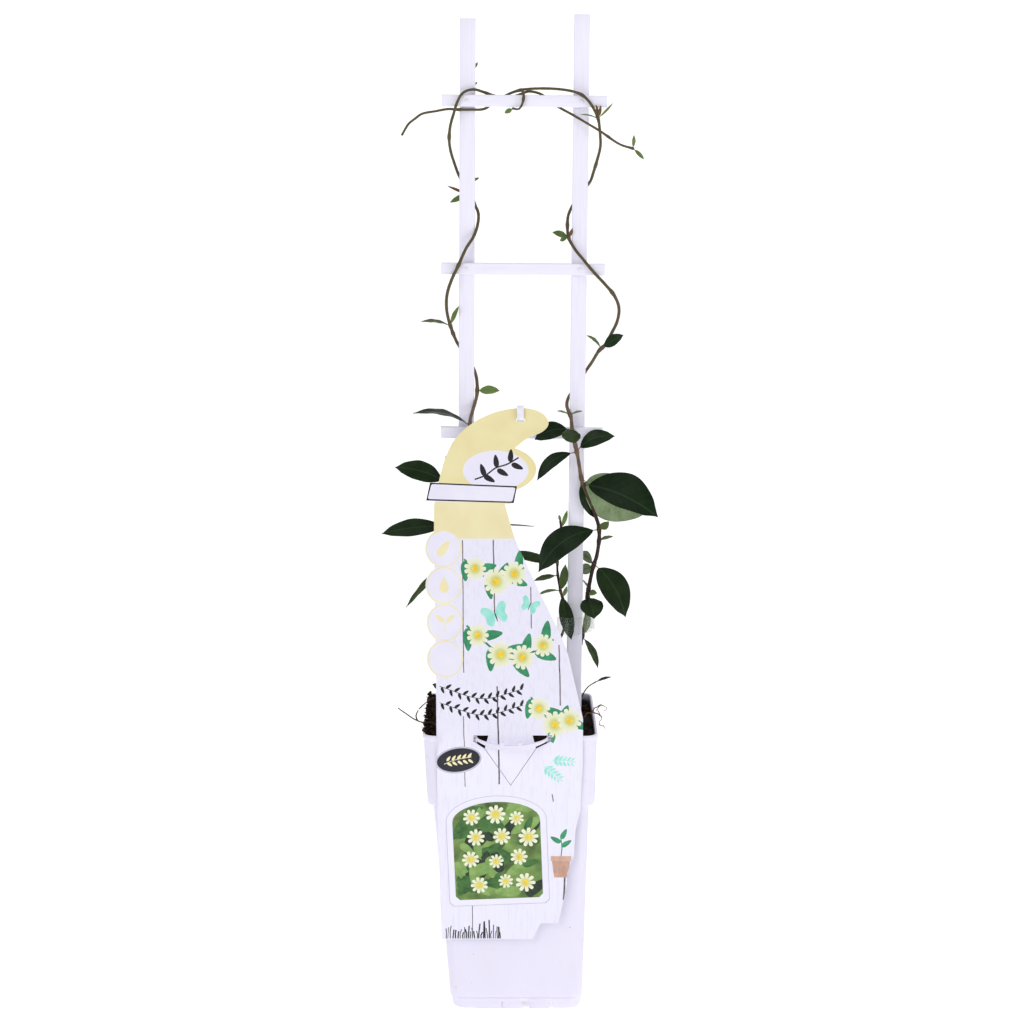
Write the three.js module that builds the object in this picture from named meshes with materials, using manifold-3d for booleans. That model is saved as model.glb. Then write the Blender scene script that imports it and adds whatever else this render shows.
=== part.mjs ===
// A young star jasmine that twines up a small wooden ladder in a tall square plastic pot, with a
// plastic hang tag. Millimetres, +Z up, front towards -Y; the origin is under the pot's centre, on
// the ground. Each real piece is one closed mesh.
import * as THREE from "three";
import { mergeVertices } from "three/addons/utils/BufferGeometryUtils.js";
import Module from "manifold-3d";

const wasm = await Module();
wasm.setup();

// ---- Driving dimensions ----

const CLEARANCE = 0.35; // between pieces that touch

const POT = {
  rimWidth: 131,
  collarWidth: 126,
  neckWidth: 117.4, // of the body, just under the collar
  baseWidth: 101.5,
  rimHeight: 221,
  collarHeight: 165.5,
  baseHeight: 9.8,
  wall: 1.6,
  cornerShare: 0.066, // corner radius as a share of the width
  cornerSteps: 5,
  baseRound: 0.6,
  collarRound: 3,
  innerStepHeight: 4,
  // The thin pot is a little out of true: how far its middle lies to the right, at three heights.
  shiftAtFoot: 3.5,
  shiftAtCollar: -0.6,
  shiftAtRim: -1.3,
};
const FOOT = {
  width: 100.4, // at its top, against the body
  draft: 2, // how much narrower it is near the ground
  edgeRound: 1.4,
  cornerShare: 0.11,
  wall: 4,
  notchWidth: 56,
  notchHeight: 6,
  ribs: [[-27.1, -8], [-7.4, 7.3], [13.1, 28]], // left and right side of each
  ribLength: 98.4,
  drainRadius: 4,
  drainOffset: 34,
};
const STRAP = {
  halfSpan: 27,
  bow: 10, // how far its middle stands in front of the rim
  thickness: 1.6,
  bottom: 212.2, // of its middle
  top: 216.5,
  endBottom: 218.8, // it rises and narrows towards its ends
  endTop: 220.6,
  notchFloor: 211.5, // the rim is cut down to here behind the strap
  nubPlaces: [-7.5, 5.5],
  nubWidth: 3.6,
  nubHeight: 2.4,
  nubRoot: 1, // how far a nub reaches down into the strap
};
const LADDER = {
  base: new THREE.Vector3(4.8, 0, 98), // between the feet of the stiles, down in the soil
  lean: THREE.MathUtils.degToRad(0.42),
  spread: 84, // between the centres of the stiles
  stileWidth: 11.5,
  stileDepth: 7,
  stileLengths: { left: 649, right: 652.5 },
  rungLength: 122,
  rungHeight: 8.6,
  rungDepth: 5,
  topRung: 589.4,
  rungSpacing: 123,
  edgeRadius: 0.8,
};
const NAIL = { shaftRadius: 0.6, headRadius: 1.3, headHeight: 0.5, length: 9 };
const SOIL = {
  level: 214.5,
  leftHeap: 4.8,
  heapFoot: 22, // how far left of the middle the heap starts to rise, and where it is highest
  heapTop: 58,
  ringShares: [1, 0.86, 0.7, 0.52, 0.34, 0.16],
};
const STEM = {
  rootRadius: 1.6,
  vineRadius: 1.35,
  tipRadius: 0.85,
  shootTip: 0.7,
  sides: 6,
  stepLength: 7.5,
};
const TWIG_RADIUS = 0.7;
const FINE_RADIUS = 0.4;
const LEAF = {
  thickness: 0.8,
  stalkShare: 0.12, // of the leaf's length, up to the longest stalk
  longestStalk: 4.5,
  stalkRadius: 0.55,
  fold: 0.16, // how steeply the blade rises away from its midrib
  stepLength: 7,
  fewestSteps: 3,
  mostSteps: 7,
};
const TAG = { thickness: 0.8, halfWidth: 80, steps: 30 };
const TIE = { x: 6.3, width: 5, thickness: 0.7, slotWidth: 6.2, slotBottom: 450.6, slotTop: 452.6 };
const TAPE = { bottom: 286.5, height: 14, thickness: 0.6 };
const BAND_STEPS = 40;

const WHITE_PLASTIC = { color: 0xf0eef8, roughness: 0.45, metalness: 0 };
const WHITE_WOOD = { color: 0xf1eff9, roughness: 0.7, metalness: 0 };
const TAG_PLASTIC = { color: 0xeceaf2, roughness: 0.5, metalness: 0 };
const CLEAR_TAPE = { color: 0xb9c4bd, roughness: 0.2, metalness: 0 };
const NAIL_STEEL = { color: 0xd8d8dc, roughness: 0.4, metalness: 0.6 };
const DARK_SOIL = { color: 0x241813, roughness: 0.95, metalness: 0 };
const VINE_GREEN = { color: 0x23401f, roughness: 0.5, metalness: 0 };
const YOUNG_GREEN = { color: 0x5d7a35, roughness: 0.5, metalness: 0 };
const DRY_BROWN = { color: 0x5a4632, roughness: 0.9, metalness: 0 };

// ---- Stems: where they run, from the soil to the tip ----

const VINE_LEFT_ROUTE = [
  [-18, -12, 188], [-19, -13, 214], [-23, -14, 250], [-28, -14, 290], [-32, -13, 330],
  [-35, -12.5, 370], [-36, -12.2, 405], [-33, -11.6, 430], [-31.2, -10.9, 442],
  [-31.6, -9.6, 450.5], [-29.5, -6.8, 458.5], [-26.6, -2, 469], [-26.4, 2, 478], [-28, 5.7, 486],
  [-33.8, 6.2, 497], [-41.2, 4.9, 508], [-46.4, 1, 521.5], [-49, -3, 534], [-48.5, -6.5, 545.5],
  [-45, -9.8, 556.5], [-40, -11.1, 567], [-34, -9, 580], [-28.5, -6, 588.5], [-25.6, -2, 597],
  [-25.2, 2.8, 605.5], [-28.4, 6, 612.5], [-34, 6.1, 623], [-39.5, 5, 633], [-43, 2.5, 642.5],
  [-45.5, 0, 651], [-46.5, -3, 659.5], [-45.5, -6, 669.5], [-43, -9.2, 678], [-40, -11, 687],
  [-36, -10.1, 693.2], [-28.5, -6, 695.8], [-21.5, -2.2, 694.2], [-15, 0.6, 692], [-3, 2.6, 690],
  [6, 1.6, 692.5], [12.5, 0.6, 694.5], [21.5, 0.2, 692.5], [29, -0.6, 687], [35, -2.2, 682.8],
  [45, -5.6, 677.3], [57, -7.6, 670.3], [65.5, -9.2, 665.2], [79.5, -9, 656], [89.6, -8.4, 652.8],
];
const LEFT_TIP_ROUTE = [
  [-28, 5.8, 611.5], [-30, 6.4, 622], [-31, 6.4, 645], [-30.5, 6.2, 672], [-29, 6, 698],
  [-28.2, 5.6, 713],
];
const VINE_RIGHT_ROUTE = [
  [49, 6, 188], [50, 7, 214], [50.5, 8, 240], [51.5, 8, 268], [55, 7, 284], [57, 5.2, 295],
  [58.3, 2, 306], [58.1, -1, 315], [59.3, -3, 324], [62.3, -4, 338.5], [64.8, -5, 347],
  [66.2, -6, 368], [59.6, -6.5, 387], [53.7, -8, 401.5], [49.4, -10.6, 425], [45.6, -11, 442],
  [44.4, -9, 453], [42.6, -5.8, 457.5], [41.5, 0.6, 461.5], [42.8, 6, 466.5], [49, 6.6, 475.5],
  [56, 5.8, 487], [60.5, 3.2, 494], [65.5, 1, 502.5], [70, 0, 507], [74.5, -2, 515.5],
  [79, -4, 525.5], [80, -6, 535.5], [76.5, -8, 544.5], [69.5, -9.8, 553], [61, -11, 562],
  [53, -9.9, 571.5], [46.5, -6.6, 579.5], [42.2, -2.5, 587.5], [41.4, 1.5, 596], [42.2, 5, 604],
  [46, 6.4, 612], [52, 6.4, 620.5], [58.5, 5, 629], [60.5, 3, 635], [63, 1, 643.5],
  [65.5, -1.5, 654.5], [65, -4.2, 665], [63.5, -7, 674.5], [60.5, -9.6, 681], [56.5, -11, 687],
  [51.5, -10.6, 691.6], [45, -8.8, 694.2], [36, -7, 695.8], [27.5, -6.2, 696.4], [17, -6, 696.4],
  [7, -5.4, 695.5], [-1, -2.2, 693.2], [-11, -1.6, 688], [-20.5, -2.4, 681.8],
  [-30.5, -5.4, 681.2], [-39.5, -5.6, 681.2], [-47, -5.8, 681.6], [-56.5, -7, 680],
  [-66.5, -8, 678], [-71.5, -8.5, 674.5], [-76, -9, 671], [-79, -9, 666.5], [-81.1, -9, 662.7],
];
const LOOSE_END_ROUTE = [
  [7, -5.4, 695.5], [8.5, -9.8, 693], [7.8, -11, 686], [5, -10.4, 681.5], [0.5, -9, 682],
];
const SHOOT_LEFT_ROUTE = [
  [-34, -24, 188], [-36, -26, 214], [-38, -27, 250], [-42, -24, 290], [-47, -20, 330],
  [-49, -17, 370], [-49.5, -14.5, 400], [-47, -14.5, 418],
];
const SHOOT_RIGHT_ROUTE = [
  [20, -16, 188], [21, -17, 214], [25, -17, 240], [31, -14, 265], [36.5, -10.5, 281],
  [40.5, -7.4, 293], [41, -7.4, 306], [37, -9, 320], [34.5, -10, 338], [36, -9.4, 352],
  [37.5, -7, 365], [36.7, -6, 373.8],
];

// ---- Leaves: where each one starts on its stem, its tip, its width and the way its upper side
// faces; how far its middle rises over the straight line (arch) and bends aside (sweep), as shares
// of its length ----

const VINE_LEFT_LEAVES = [
  { at: [-33, -9.6, 447], tip: [-74, -20, 457.5], width: 12, face: [0.1, -0.27, 1], arch: 0.12 },
  { at: [-26.5, 0.6, 472], tip: [-9.2, -9, 473.4], width: 7, face: [0, -1, 0.5], arch: 0.08 },
  { at: [-46.5, 1, 521.5], tip: [-68.3, -4, 524.8], width: 7, face: [0, -0.33, 1], arch: 0.08 },
  { at: [-46.5, 1, 521.5], tip: [-39.6, -7, 536.8], width: 3.8, face: [-0.6, -1, 0], arch: 0.05 },
  { at: [-32, 6.1, 618.6], tip: [-48.6, 5, 625.6], width: 2.2, face: [-0.1, -1, 0.2], arch: 0 },
  { at: [-30.3, 6.4, 629], tip: [-24.4, 5, 631.5], width: 2.2, face: [0.2, -1, 0.2], arch: 0.05 },
  { at: [-32.4, 6, 620], tip: [-46.4, 5, 613.2], width: 4.2, face: [-0.1, -1, 0.2], arch: 0 },
  { at: [89, -8.4, 652.8], tip: [89.8, -9, 662.7], width: 3, face: [0.5, -1, 0], arch: 0.05 },
  { at: [89.5, -8.4, 652.8], tip: [97.4, -9.5, 645], width: 3.2, face: [0.3, -1, 0.3], arch: 0.05 },
  { at: [-28.5, 6, 699], tip: [-25.6, 5, 701.5], width: 1.8, face: [0.3, -1, 0], arch: 0.05 },
  { at: [-28, 5.6, 711], tip: [-25.4, 4.8, 716], width: 2, face: [0.3, -1, 0], arch: 0.05 },
  { at: [-24, -14, 256], tip: [-16, 20, 272], width: 14, face: [-0.3, 0.3, 1], arch: 0.15 },
  { at: [-24, -14, 256], tip: [4, 6, 262], width: 14, face: [0.2, 0.2, 1], arch: 0.15 },
  { at: [-30, -13.6, 310], tip: [-6, 14, 322], width: 12, face: [0.2, 0.5, 1], arch: 0.15 },
  { at: [-34, -12.6, 356], tip: [-6, -14, 366], width: 13, face: [0.2, -1, 0.6], arch: 0.1 },
];
const VINE_RIGHT_LEAVES = [
  {
    at: [45, -10.8, 443.5], tip: [17, -11.2, 436.5], width: 13.2,
    face: [0, -1, 0.3], arch: 0, sweep: -0.14,
  },
  { at: [47.9, -10.6, 432], tip: [41.5, -28, 447], width: 14, face: [0, -0.75, -1], arch: -0.06 },
  {
    at: [49.8, -10.6, 428], tip: [77.3, -17, 440], width: 13,
    face: [0.2, -1, 0.7], arch: 0.1, sweep: 0.1,
  },
  {
    at: [49.4, -10.8, 427], tip: [19, -15, 406], width: 10,
    face: [-0.3, -1, 0.4], arch: 0.1, sweep: -0.12,
  },
  {
    at: [54, -8, 401.5], tip: [109.1, -34, 381.2], width: 28.5,
    face: [0.2, -1, 0.45], arch: 0.1, sweep: 0.1,
  },
  {
    at: [51.9, -8.3, 407], tip: [107.3, -6, 382], width: 35,
    face: [-0.15, 1, -0.1], arch: 0.04, sweep: 0.07, skew: 0.8,
  },
  {
    at: [52.4, -8.4, 408], tip: [63.5, -3.4, 375], width: 15,
    face: [0.45, -1, 0.1], arch: 0, skew: 0.8,
  },
  {
    at: [65.8, -6, 367], tip: [20, -27, 338], width: 22.5,
    face: [-0.3, -1, 0.6], arch: 0.1, sweep: -0.11, skew: 0.95,
  },
  {
    at: [63, -4, 339.5], tip: [86.3, -19, 301.7], width: 22,
    face: [0.3, -1, 0.1], arch: 0.08, sweep: 0.07, skew: 0.85,
  },
  {
    at: [58.2, 0, 313.5], tip: [62.4, -20, 300.5], width: 18,
    face: [0.05, -0.9, 1], arch: 0.16, skew: 1.15,
  },
  { at: [54, 7.4, 281], tip: [66.2, -2, 257.8], width: 9, face: [0.8, -0.6, 0.3], arch: 0.08 },
  { at: [65.2, -5.6, 358], tip: [77.2, -2, 361], width: 6, face: [0, -0.2, 1], arch: 0.05 },
  { at: [66.1, -6, 367.4], tip: [73.5, -11, 374], width: 6.5, face: [0.4, -1, 0.2], arch: 0.1 },
  {
    at: [62.5, -4, 338.5], tip: [50.5, 9, 344.5], width: 9,
    face: [0.7, 0.7, 0.1], arch: 0.04, sweep: 0.15,
  },
  { at: [62.3, -4, 337.8], tip: [50.5, 9, 331.5], width: 8.5, face: [0.7, 0.7, 0.1], arch: 0.04 },
  { at: [58, 2.6, 304], tip: [57, 6.4, 283.6], width: 6.2, face: [0.3, -1, 0], arch: 0.03 },
  { at: [58.6, -2, 317], tip: [65, -8, 317.8], width: 5, face: [0, -1, 0.5], arch: 0.05 },
  { at: [51.2, 8.2, 275], tip: [40.2, 7.5, 263], width: 6, face: [-0.2, 1, 0.3], arch: 0.08 },
  { at: [44.1, -9, 456], tip: [33.8, -14, 458.7], width: 3.6, face: [0, -0.5, 1], arch: 0.05 },
  { at: [44.2, -9, 456], tip: [53, -12.5, 458.4], width: 3.6, face: [0, -0.5, 1], arch: 0.05 },
  { at: [67.5, 0.5, 505.5], tip: [83.4, -10, 515.4], width: 9, face: [-0.2, -1, 0.4], arch: 0.08 },
  { at: [67, 0.7, 504.4], tip: [56, -3, 514.5], width: 5, face: [0.6, -0.6, 1], arch: 0.1 },
  { at: [42.2, -2.5, 587.5], tip: [30, -8, 591.5], width: 5.5, face: [0, -1, 0.6], arch: 0.08 },
  { at: [42.1, -2, 588], tip: [36, 3, 585], width: 4, face: [0, -1, 0.4], arch: 0.05 },
  { at: [42.2, -2.5, 587.5], tip: [44.8, -7.5, 594.5], width: 3, face: [0.4, -1, 0], arch: 0.05 },
  { at: [63.6, -7, 675], tip: [50.5, -12.8, 677.5], width: 2.2, face: [0, -0.6, 1], arch: 0.06 },
  { at: [63.5, -7.4, 675.2], tip: [61.8, -10.6, 684.6], width: 2.4, face: [0.4, -1, 0], arch: 0.05 },
  { at: [63.6, -7, 674.8], tip: [65.2, -10.6, 684.2], width: 2.6, face: [0.4, -1, 0], arch: 0.05 },
  { at: [63.6, -7, 675], tip: [74.2, -13, 685.9], width: 1.8, face: [0.4, -1, 0], arch: 0.04 },
  { at: [1, -9.1, 682], tip: [-5.5, -10.5, 678.5], width: 3.6, face: [0.2, -1, 0.4], arch: 0.05 },
  { at: [50.4, 8, 235], tip: [30, 34, 248], width: 15, face: [0.2, 0.3, 1], arch: 0.15 },
  { at: [50.4, 8, 235], tip: [44, 40, 240], width: 12, face: [0.2, 0.2, 1], arch: 0.15 },
  { at: [58.8, -2.4, 320], tip: [53.6, 9.6, 325.5], width: 4.4, face: [0.2, 0.6, 1], arch: 0.05 },
];
const SHOOT_LEFT_LEAVES = [
  {
    at: [-49.3, -14.6, 404], tip: [-88, -18, 416.5], width: 15.6,
    face: [-0.1, -1, 0.5], arch: 0.1, sweep: -0.045,
  },
  { at: [-49.3, -14.6, 404], tip: [-19, -19.5, 398], width: 13, face: [0.1, -1, 0.2], arch: 0.06 },
  {
    at: [-49.1, -16.9, 371], tip: [-98.2, -24, 366.8], width: 14.5,
    face: [0.05, -1, 0.75], arch: 0.05, sweep: -0.02,
  },
  { at: [-49, -17, 371], tip: [16.6, -21, 372], width: 8, face: [0, 0, 1], arch: 0.02 },
  { at: [-48, -18.6, 345], tip: [-80.1, -27, 310.8], width: 7.5, face: [-0.8, -0.7, 0.9], arch: 0.03 },
  { at: [-47.8, -18.8, 344], tip: [-24, -32, 322], width: 12, face: [0.1, -1, 0.3], arch: 0.08 },
  { at: [-42, -24, 290], tip: [-20, -42, 282], width: 13, face: [0.1, -0.8, 0.6], arch: 0.1 },
  { at: [-41.5, -24.4, 286], tip: [-52, 2, 292], width: 13, face: [-0.4, 0.2, 1], arch: 0.12 },
  { at: [-37.5, -27, 242], tip: [-61, -16, 248.5], width: 8, face: [0, -1, 0.4], arch: 0.1 },
  { at: [-47.2, -14.5, 417], tip: [-42, -15.5, 430], width: 5, face: [0.2, -1, 0], arch: 0.05 },
  { at: [-47.2, -14.5, 417], tip: [-50, -13.4, 424.5], width: 3, face: [0.1, -1, 0], arch: 0.05 },
];
const SHOOT_RIGHT_LEAVES = [
  { at: [34.6, -9.9, 341.5], tip: [-3.1, -3, 349], width: 7.6, face: [-0.2, -1, 0.5], arch: 0.04 },
  { at: [34.9, -9.8, 332.5], tip: [16.8, -15, 329], width: 7, face: [0, -0.4, 1], arch: 0.03 },
  { at: [37, -9, 320], tip: [19.5, -12, 317], width: 5, face: [0, -0.25, 1], arch: 0.1 },
  { at: [37.6, -9, 319], tip: [40.6, -11.5, 341], width: 7, face: [0.3, -1, 0.1], arch: 0.05 },
  { at: [37.4, -8.8, 319.5], tip: [45.4, -11.8, 282.4], width: 11, face: [0.1, -1, 0.05], arch: 0.03 },
  { at: [37.3, -6.8, 368], tip: [42, -6.4, 382], width: 3.6, face: [0.3, -1, 0], arch: 0.05 },
  { at: [36.7, -6, 373], tip: [35.6, -6.6, 378.5], width: 2.2, face: [0.3, -1, 0], arch: 0.05 },
  { at: [25, -17, 240], tip: [2, -34, 246], width: 15, face: [-0.1, -0.5, 1], arch: 0.12 },
  { at: [25, -17, 240], tip: [16, 12, 250], width: 15, face: [0.1, 0.3, 1], arch: 0.12 },
  { at: [31, -14, 265], tip: [10, -30, 274], width: 14, face: [-0.1, -0.6, 1], arch: 0.12 },
  { at: [38.8, -8.4, 314.5], tip: [41.8, -9.6, 323.6], width: 3.2, face: [0.3, -1, 0.1], arch: 0.05 },
];

// ---- Closed shapes ----

const { lerp } = THREE.MathUtils;
const vector = ([x, y, z]) => new THREE.Vector3(x, y, z);
const flat = (points) => points.map(([x, y]) => new THREE.Vector2(x, y));

// A solid that can be joined and cut, from a closed geometry.
function toSolid(geometry) {
  const bare = new THREE.BufferGeometry();
  bare.setAttribute("position", geometry.getAttribute("position"));
  bare.setIndex(geometry.getIndex());
  const merged = mergeVertices(bare, 1e-4);
  const mesh = new wasm.Mesh({
    numProp: 3,
    vertProperties: merged.attributes.position.array,
    triVerts: new Uint32Array(merged.index.array),
  });
  return new wasm.Manifold(mesh);
}

function toGeometry(solid) {
  const mesh = solid.getMesh();
  const geometry = new THREE.BufferGeometry();
  geometry.setAttribute("position", new THREE.BufferAttribute(mesh.vertProperties, 3));
  geometry.setIndex(new THREE.BufferAttribute(mesh.triVerts, 1));
  geometry.computeVertexNormals();
  return geometry;
}

const join = (solids) => solids.reduce((whole, solid) => whole.add(solid));
const cut = (solid, cutters) => cutters.reduce((left, cutter) => left.subtract(cutter), solid);

// A closed skin over rings of points, each ring counter-clockwise seen from the way the rings run.
// crossed names the ring's columns whose squares are split along their other diagonal.
function loft(rings, crossed = []) {
  const count = rings[0].length;
  const points = rings.flat();
  const faces = [];
  for (let i = 0; i + 1 < rings.length; i++) {
    for (let j = 0; j < count; j++) {
      const a = i * count + j;
      const b = i * count + ((j + 1) % count);
      const c = b + count;
      const d = a + count;
      if (crossed.includes(j)) faces.push(a, b, d, b, c, d);
      else faces.push(a, b, c, a, c, d);
    }
  }
  const middle = (ring) =>
    ring.reduce((sum, point) => sum.add(point), new THREE.Vector3()).divideScalar(count);
  const last = (rings.length - 1) * count;
  const first = points.push(middle(rings[0])) - 1;
  const end = points.push(middle(rings[rings.length - 1])) - 1;
  for (let j = 0; j < count; j++) {
    const next = (j + 1) % count;
    faces.push(first, next, j);
    faces.push(end, last + j, last + next);
  }
  return new THREE.BufferGeometry().setFromPoints(points).setIndex(faces);
}

const stemCurve = (route) => new THREE.CatmullRomCurve3(route.map(vector), false, "centripetal");

// A round stem along a route, its radius given along its length from 0 to 1.
function stem(route, radiusAt) {
  const curve = stemCurve(route);
  const steps = Math.max(4, Math.round(curve.getLength() / STEM.stepLength));
  const frames = curve.computeFrenetFrames(steps, false);
  const rings = [];
  for (let i = 0; i <= steps; i++) {
    const centre = curve.getPointAt(i / steps);
    const ring = [];
    for (let j = 0; j < STEM.sides; j++) {
      const angle = (2 * Math.PI * j) / STEM.sides;
      const out = frames.normals[i]
        .clone()
        .multiplyScalar(Math.cos(angle))
        .addScaledVector(frames.binormals[i], Math.sin(angle));
      ring.push(centre.clone().addScaledVector(out, radiusAt(i / steps)));
    }
    rings.push(ring);
  }
  return loft(rings);
}

const taper = (from, to) => (t) => lerp(from, to, t);

// A vine keeps its thickness at first and thins out towards its tip.
const EVEN_SHARE = 0.35;
const vineTaper = (t) =>
  t < EVEN_SHARE
    ? taper(STEM.rootRadius, STEM.vineRadius)(t / EVEN_SHARE)
    : taper(STEM.vineRadius, STEM.tipRadius)((t - EVEN_SHARE) / (1 - EVEN_SHARE));

function nearest(place, points) {
  const distances = points.map((point) => point.distanceTo(place));
  return points[distances.indexOf(Math.min(...distances))].clone();
}

// Half the blade's width at t along it, as a share of its full width. A greater skew moves the
// widest place towards the tip.
const USUAL_SKEW = 0.92;
const bladeHalfWidth = (t, skew) => Math.sin(Math.PI * t ** skew) ** 0.75 / 2;

// Places along the leaf's spine from 0 to 1, each with half the leaf's width there: the stalk's
// foot, then the blade from its base to its tip.
function leafStations(length, width, skew) {
  const stalk = Math.min(LEAF.stalkShare, LEAF.longestStalk / length);
  const steps = THREE.MathUtils.clamp(
    Math.round(length / LEAF.stepLength),
    LEAF.fewestSteps,
    LEAF.mostSteps,
  );
  const stations = [[0, LEAF.stalkRadius]];
  for (let i = 0; i < steps; i++) {
    const t = i / steps;
    const half = Math.max(LEAF.stalkRadius, width * bladeHalfWidth(t, skew));
    stations.push([stalk + (1 - stalk) * t, half]);
  }
  stations.push([1, LEAF.stalkRadius / 2]);
  return stations;
}

// One section across a leaf: three points on its lower side and three on its upper side.
function leafRing(centre, side, lift, half) {
  const place = (across, rise) =>
    centre
      .clone()
      .addScaledVector(side, across)
      .addScaledVector(lift, rise + LEAF.fold * Math.abs(across));
  const thick = LEAF.thickness / 2;
  return [
    place(half, -thick),
    place(half, thick),
    place(0, thick),
    place(-half, thick),
    place(-half, -thick),
    place(0, -thick),
  ];
}

// The columns on a blade's lower side, split so that both sides bend along the same lines.
const LOWER_COLUMNS = [4, 5];

// A leaf on its stalk: a thin blade with pointed ends, arched along its length and folded a
// little along its midrib. It grows from the nearest of the stem's points.
function leaf({ at, tip, width, face, arch, sweep = 0, skew = USUAL_SKEW }, stemPoints) {
  const start = nearest(vector(at), stemPoints);
  const end = vector(tip);
  const length = start.distanceTo(end);
  const along = end.clone().sub(start).normalize();
  const side = vector(face).cross(along).normalize();
  const up = along.clone().cross(side);
  const crown = start
    .clone()
    .lerp(end, 0.5)
    .addScaledVector(up, 2 * arch * length)
    .addScaledVector(side, 2 * sweep * length);
  const spine = new THREE.QuadraticBezierCurve3(start, crown, end);
  const rings = leafStations(length, width, skew).map(([share, half]) => {
    const lift = spine.getTangent(share).cross(side);
    return leafRing(spine.getPoint(share), side, lift, half);
  });
  return loft(rings, LOWER_COLUMNS);
}

// Stems and the leaves that grow on them, as one piece.
const STEM_POINTS = 800;

function leafyStem(routes, leaves) {
  const stems = routes.map(({ route, radiusAt }) => stem(route, radiusAt));
  const stemPoints = routes.flatMap(({ route }) => stemCurve(route).getSpacedPoints(STEM_POINTS));
  const blades = leaves.map((spec) => leaf(spec, stemPoints));
  return toGeometry(join([...stems, ...blades].map(toSolid)));
}

// ---- The pot ----

function potShift(z) {
  const collar = POT.collarHeight;
  if (z < collar) return lerp(POT.shiftAtFoot, POT.shiftAtCollar, z / collar);
  return lerp(POT.shiftAtCollar, POT.shiftAtRim, (z - collar) / (POT.rimHeight - collar));
}

// A square with rounded corners, round the pot's middle at its height.
function squareRing(width, z, heightAt = () => 0, cornerShare = POT.cornerShare) {
  const radius = width * cornerShare;
  const inner = width / 2 - radius;
  const ring = [];
  for (let corner = 0; corner < 4; corner++) {
    const turn = (corner * Math.PI) / 2;
    const cx = inner * Math.sign(Math.cos(turn + Math.PI / 4));
    const cy = inner * Math.sign(Math.sin(turn + Math.PI / 4));
    for (let i = 0; i <= POT.cornerSteps; i++) {
      const angle = turn + ((Math.PI / 2) * i) / POT.cornerSteps;
      const x = cx + radius * Math.cos(angle);
      const y = cy + radius * Math.sin(angle);
      ring.push(new THREE.Vector3(x + potShift(z), y, z + heightAt(x, y)));
    }
  }
  return ring;
}

const squareLoft = (levels) => loft(levels.map(([width, z]) => squareRing(width, z)));

// The space inside the pot, drawn in by a margin from its walls.
function cavityLevels(margin, top) {
  const shrink = 2 * (POT.wall + margin);
  const flare = (POT.rimWidth - POT.collarWidth) / (POT.rimHeight - POT.collarHeight);
  return [
    [POT.baseWidth - shrink, POT.baseHeight + POT.wall + margin],
    [POT.neckWidth - shrink, POT.collarHeight],
    [POT.collarWidth - shrink, POT.collarHeight + POT.innerStepHeight],
    [POT.rimWidth - shrink + flare * (top - POT.rimHeight), top],
  ];
}

function box(width, depth, height, x, y, z) {
  return new THREE.BoxGeometry(width, depth, height).translate(x, y, z + height / 2);
}

function cylinder(radius, height, x, y, z, sides = 16) {
  const geometry = new THREE.CylinderGeometry(radius, radius, height, sides);
  return geometry.rotateX(Math.PI / 2).translate(x, y, z + height / 2);
}

function potShell() {
  const outer = squareLoft([
    [POT.baseWidth - 2 * POT.baseRound, POT.baseHeight - POT.baseRound / 2],
    [POT.baseWidth, POT.baseHeight + POT.baseRound],
    [POT.neckWidth, POT.collarHeight],
    [POT.collarWidth - POT.collarRound / 2, POT.collarHeight + POT.collarRound / 4],
    [POT.collarWidth, POT.collarHeight + POT.collarRound],
    [POT.rimWidth, POT.rimHeight],
  ]);
  const cavity = squareLoft(cavityLevels(0, POT.rimHeight + 1));
  const drains = [-1, 1].flatMap((across) =>
    [-1, 1].map((back) => {
      const x = POT.shiftAtFoot + across * FOOT.drainOffset;
      return cylinder(FOOT.drainRadius, 2 * POT.baseHeight, x, back * FOOT.drainOffset, 0);
    }),
  );
  return cut(toSolid(outer), [toSolid(cavity), ...drains.map(toSolid)]);
}

// A ring of wall under the pot, cut away in the middle of each side, and ribs from front to back.
function potFeet() {
  const height = POT.baseHeight;
  const footLoft = (levels) =>
    toSolid(loft(levels.map(([width, z]) => squareRing(width, z, undefined, FOOT.cornerShare))));
  const innerWidth = FOOT.width - 2 * FOOT.wall;
  const ring = footLoft([
    [FOOT.width - FOOT.draft - 2 * FOOT.edgeRound, 0],
    [FOOT.width - FOOT.draft, FOOT.edgeRound],
    [FOOT.width, height],
  ]);
  const inside = footLoft([[innerWidth, -1], [innerWidth, height + 1]]);
  const notches = [
    box(FOOT.notchWidth, FOOT.width + 2, FOOT.notchHeight + 1, POT.shiftAtFoot, 0, -1),
    box(FOOT.width + 2, FOOT.notchWidth, FOOT.notchHeight + 1, POT.shiftAtFoot, 0, -1),
  ];
  const ribs = FOOT.ribs.map(([left, right]) =>
    box(right - left, FOOT.ribLength, height + POT.wall / 2, (left + right) / 2, 0, 0),
  );
  return [cut(ring, [inside, ...notches.map(toSolid)]), ...ribs.map(toSolid)];
}

// The strap is a bow in front of the rim, which is cut down behind it, with two nubs on top.
const STRAP_ROOT = 1.4; // how far the strap's ends reach into the wall

function bowLine(inset) {
  const wallY = -POT.rimWidth / 2;
  const foot = STRAP.halfSpan + 0.6 - inset;
  const line = [
    [-foot, STRAP_ROOT],
    [-foot + STRAP.thickness, -0.42 * STRAP.bow + inset],
    [-0.5 * STRAP.halfSpan, -0.86 * STRAP.bow + inset],
    [0, -STRAP.bow + inset],
    [0.5 * STRAP.halfSpan, -0.86 * STRAP.bow + inset],
    [foot - STRAP.thickness, -0.42 * STRAP.bow + inset],
    [foot, STRAP_ROOT],
  ];
  return new THREE.SplineCurve(flat(line.map(([x, y]) => [x, wallY + y]))).getPoints(24);
}

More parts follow.
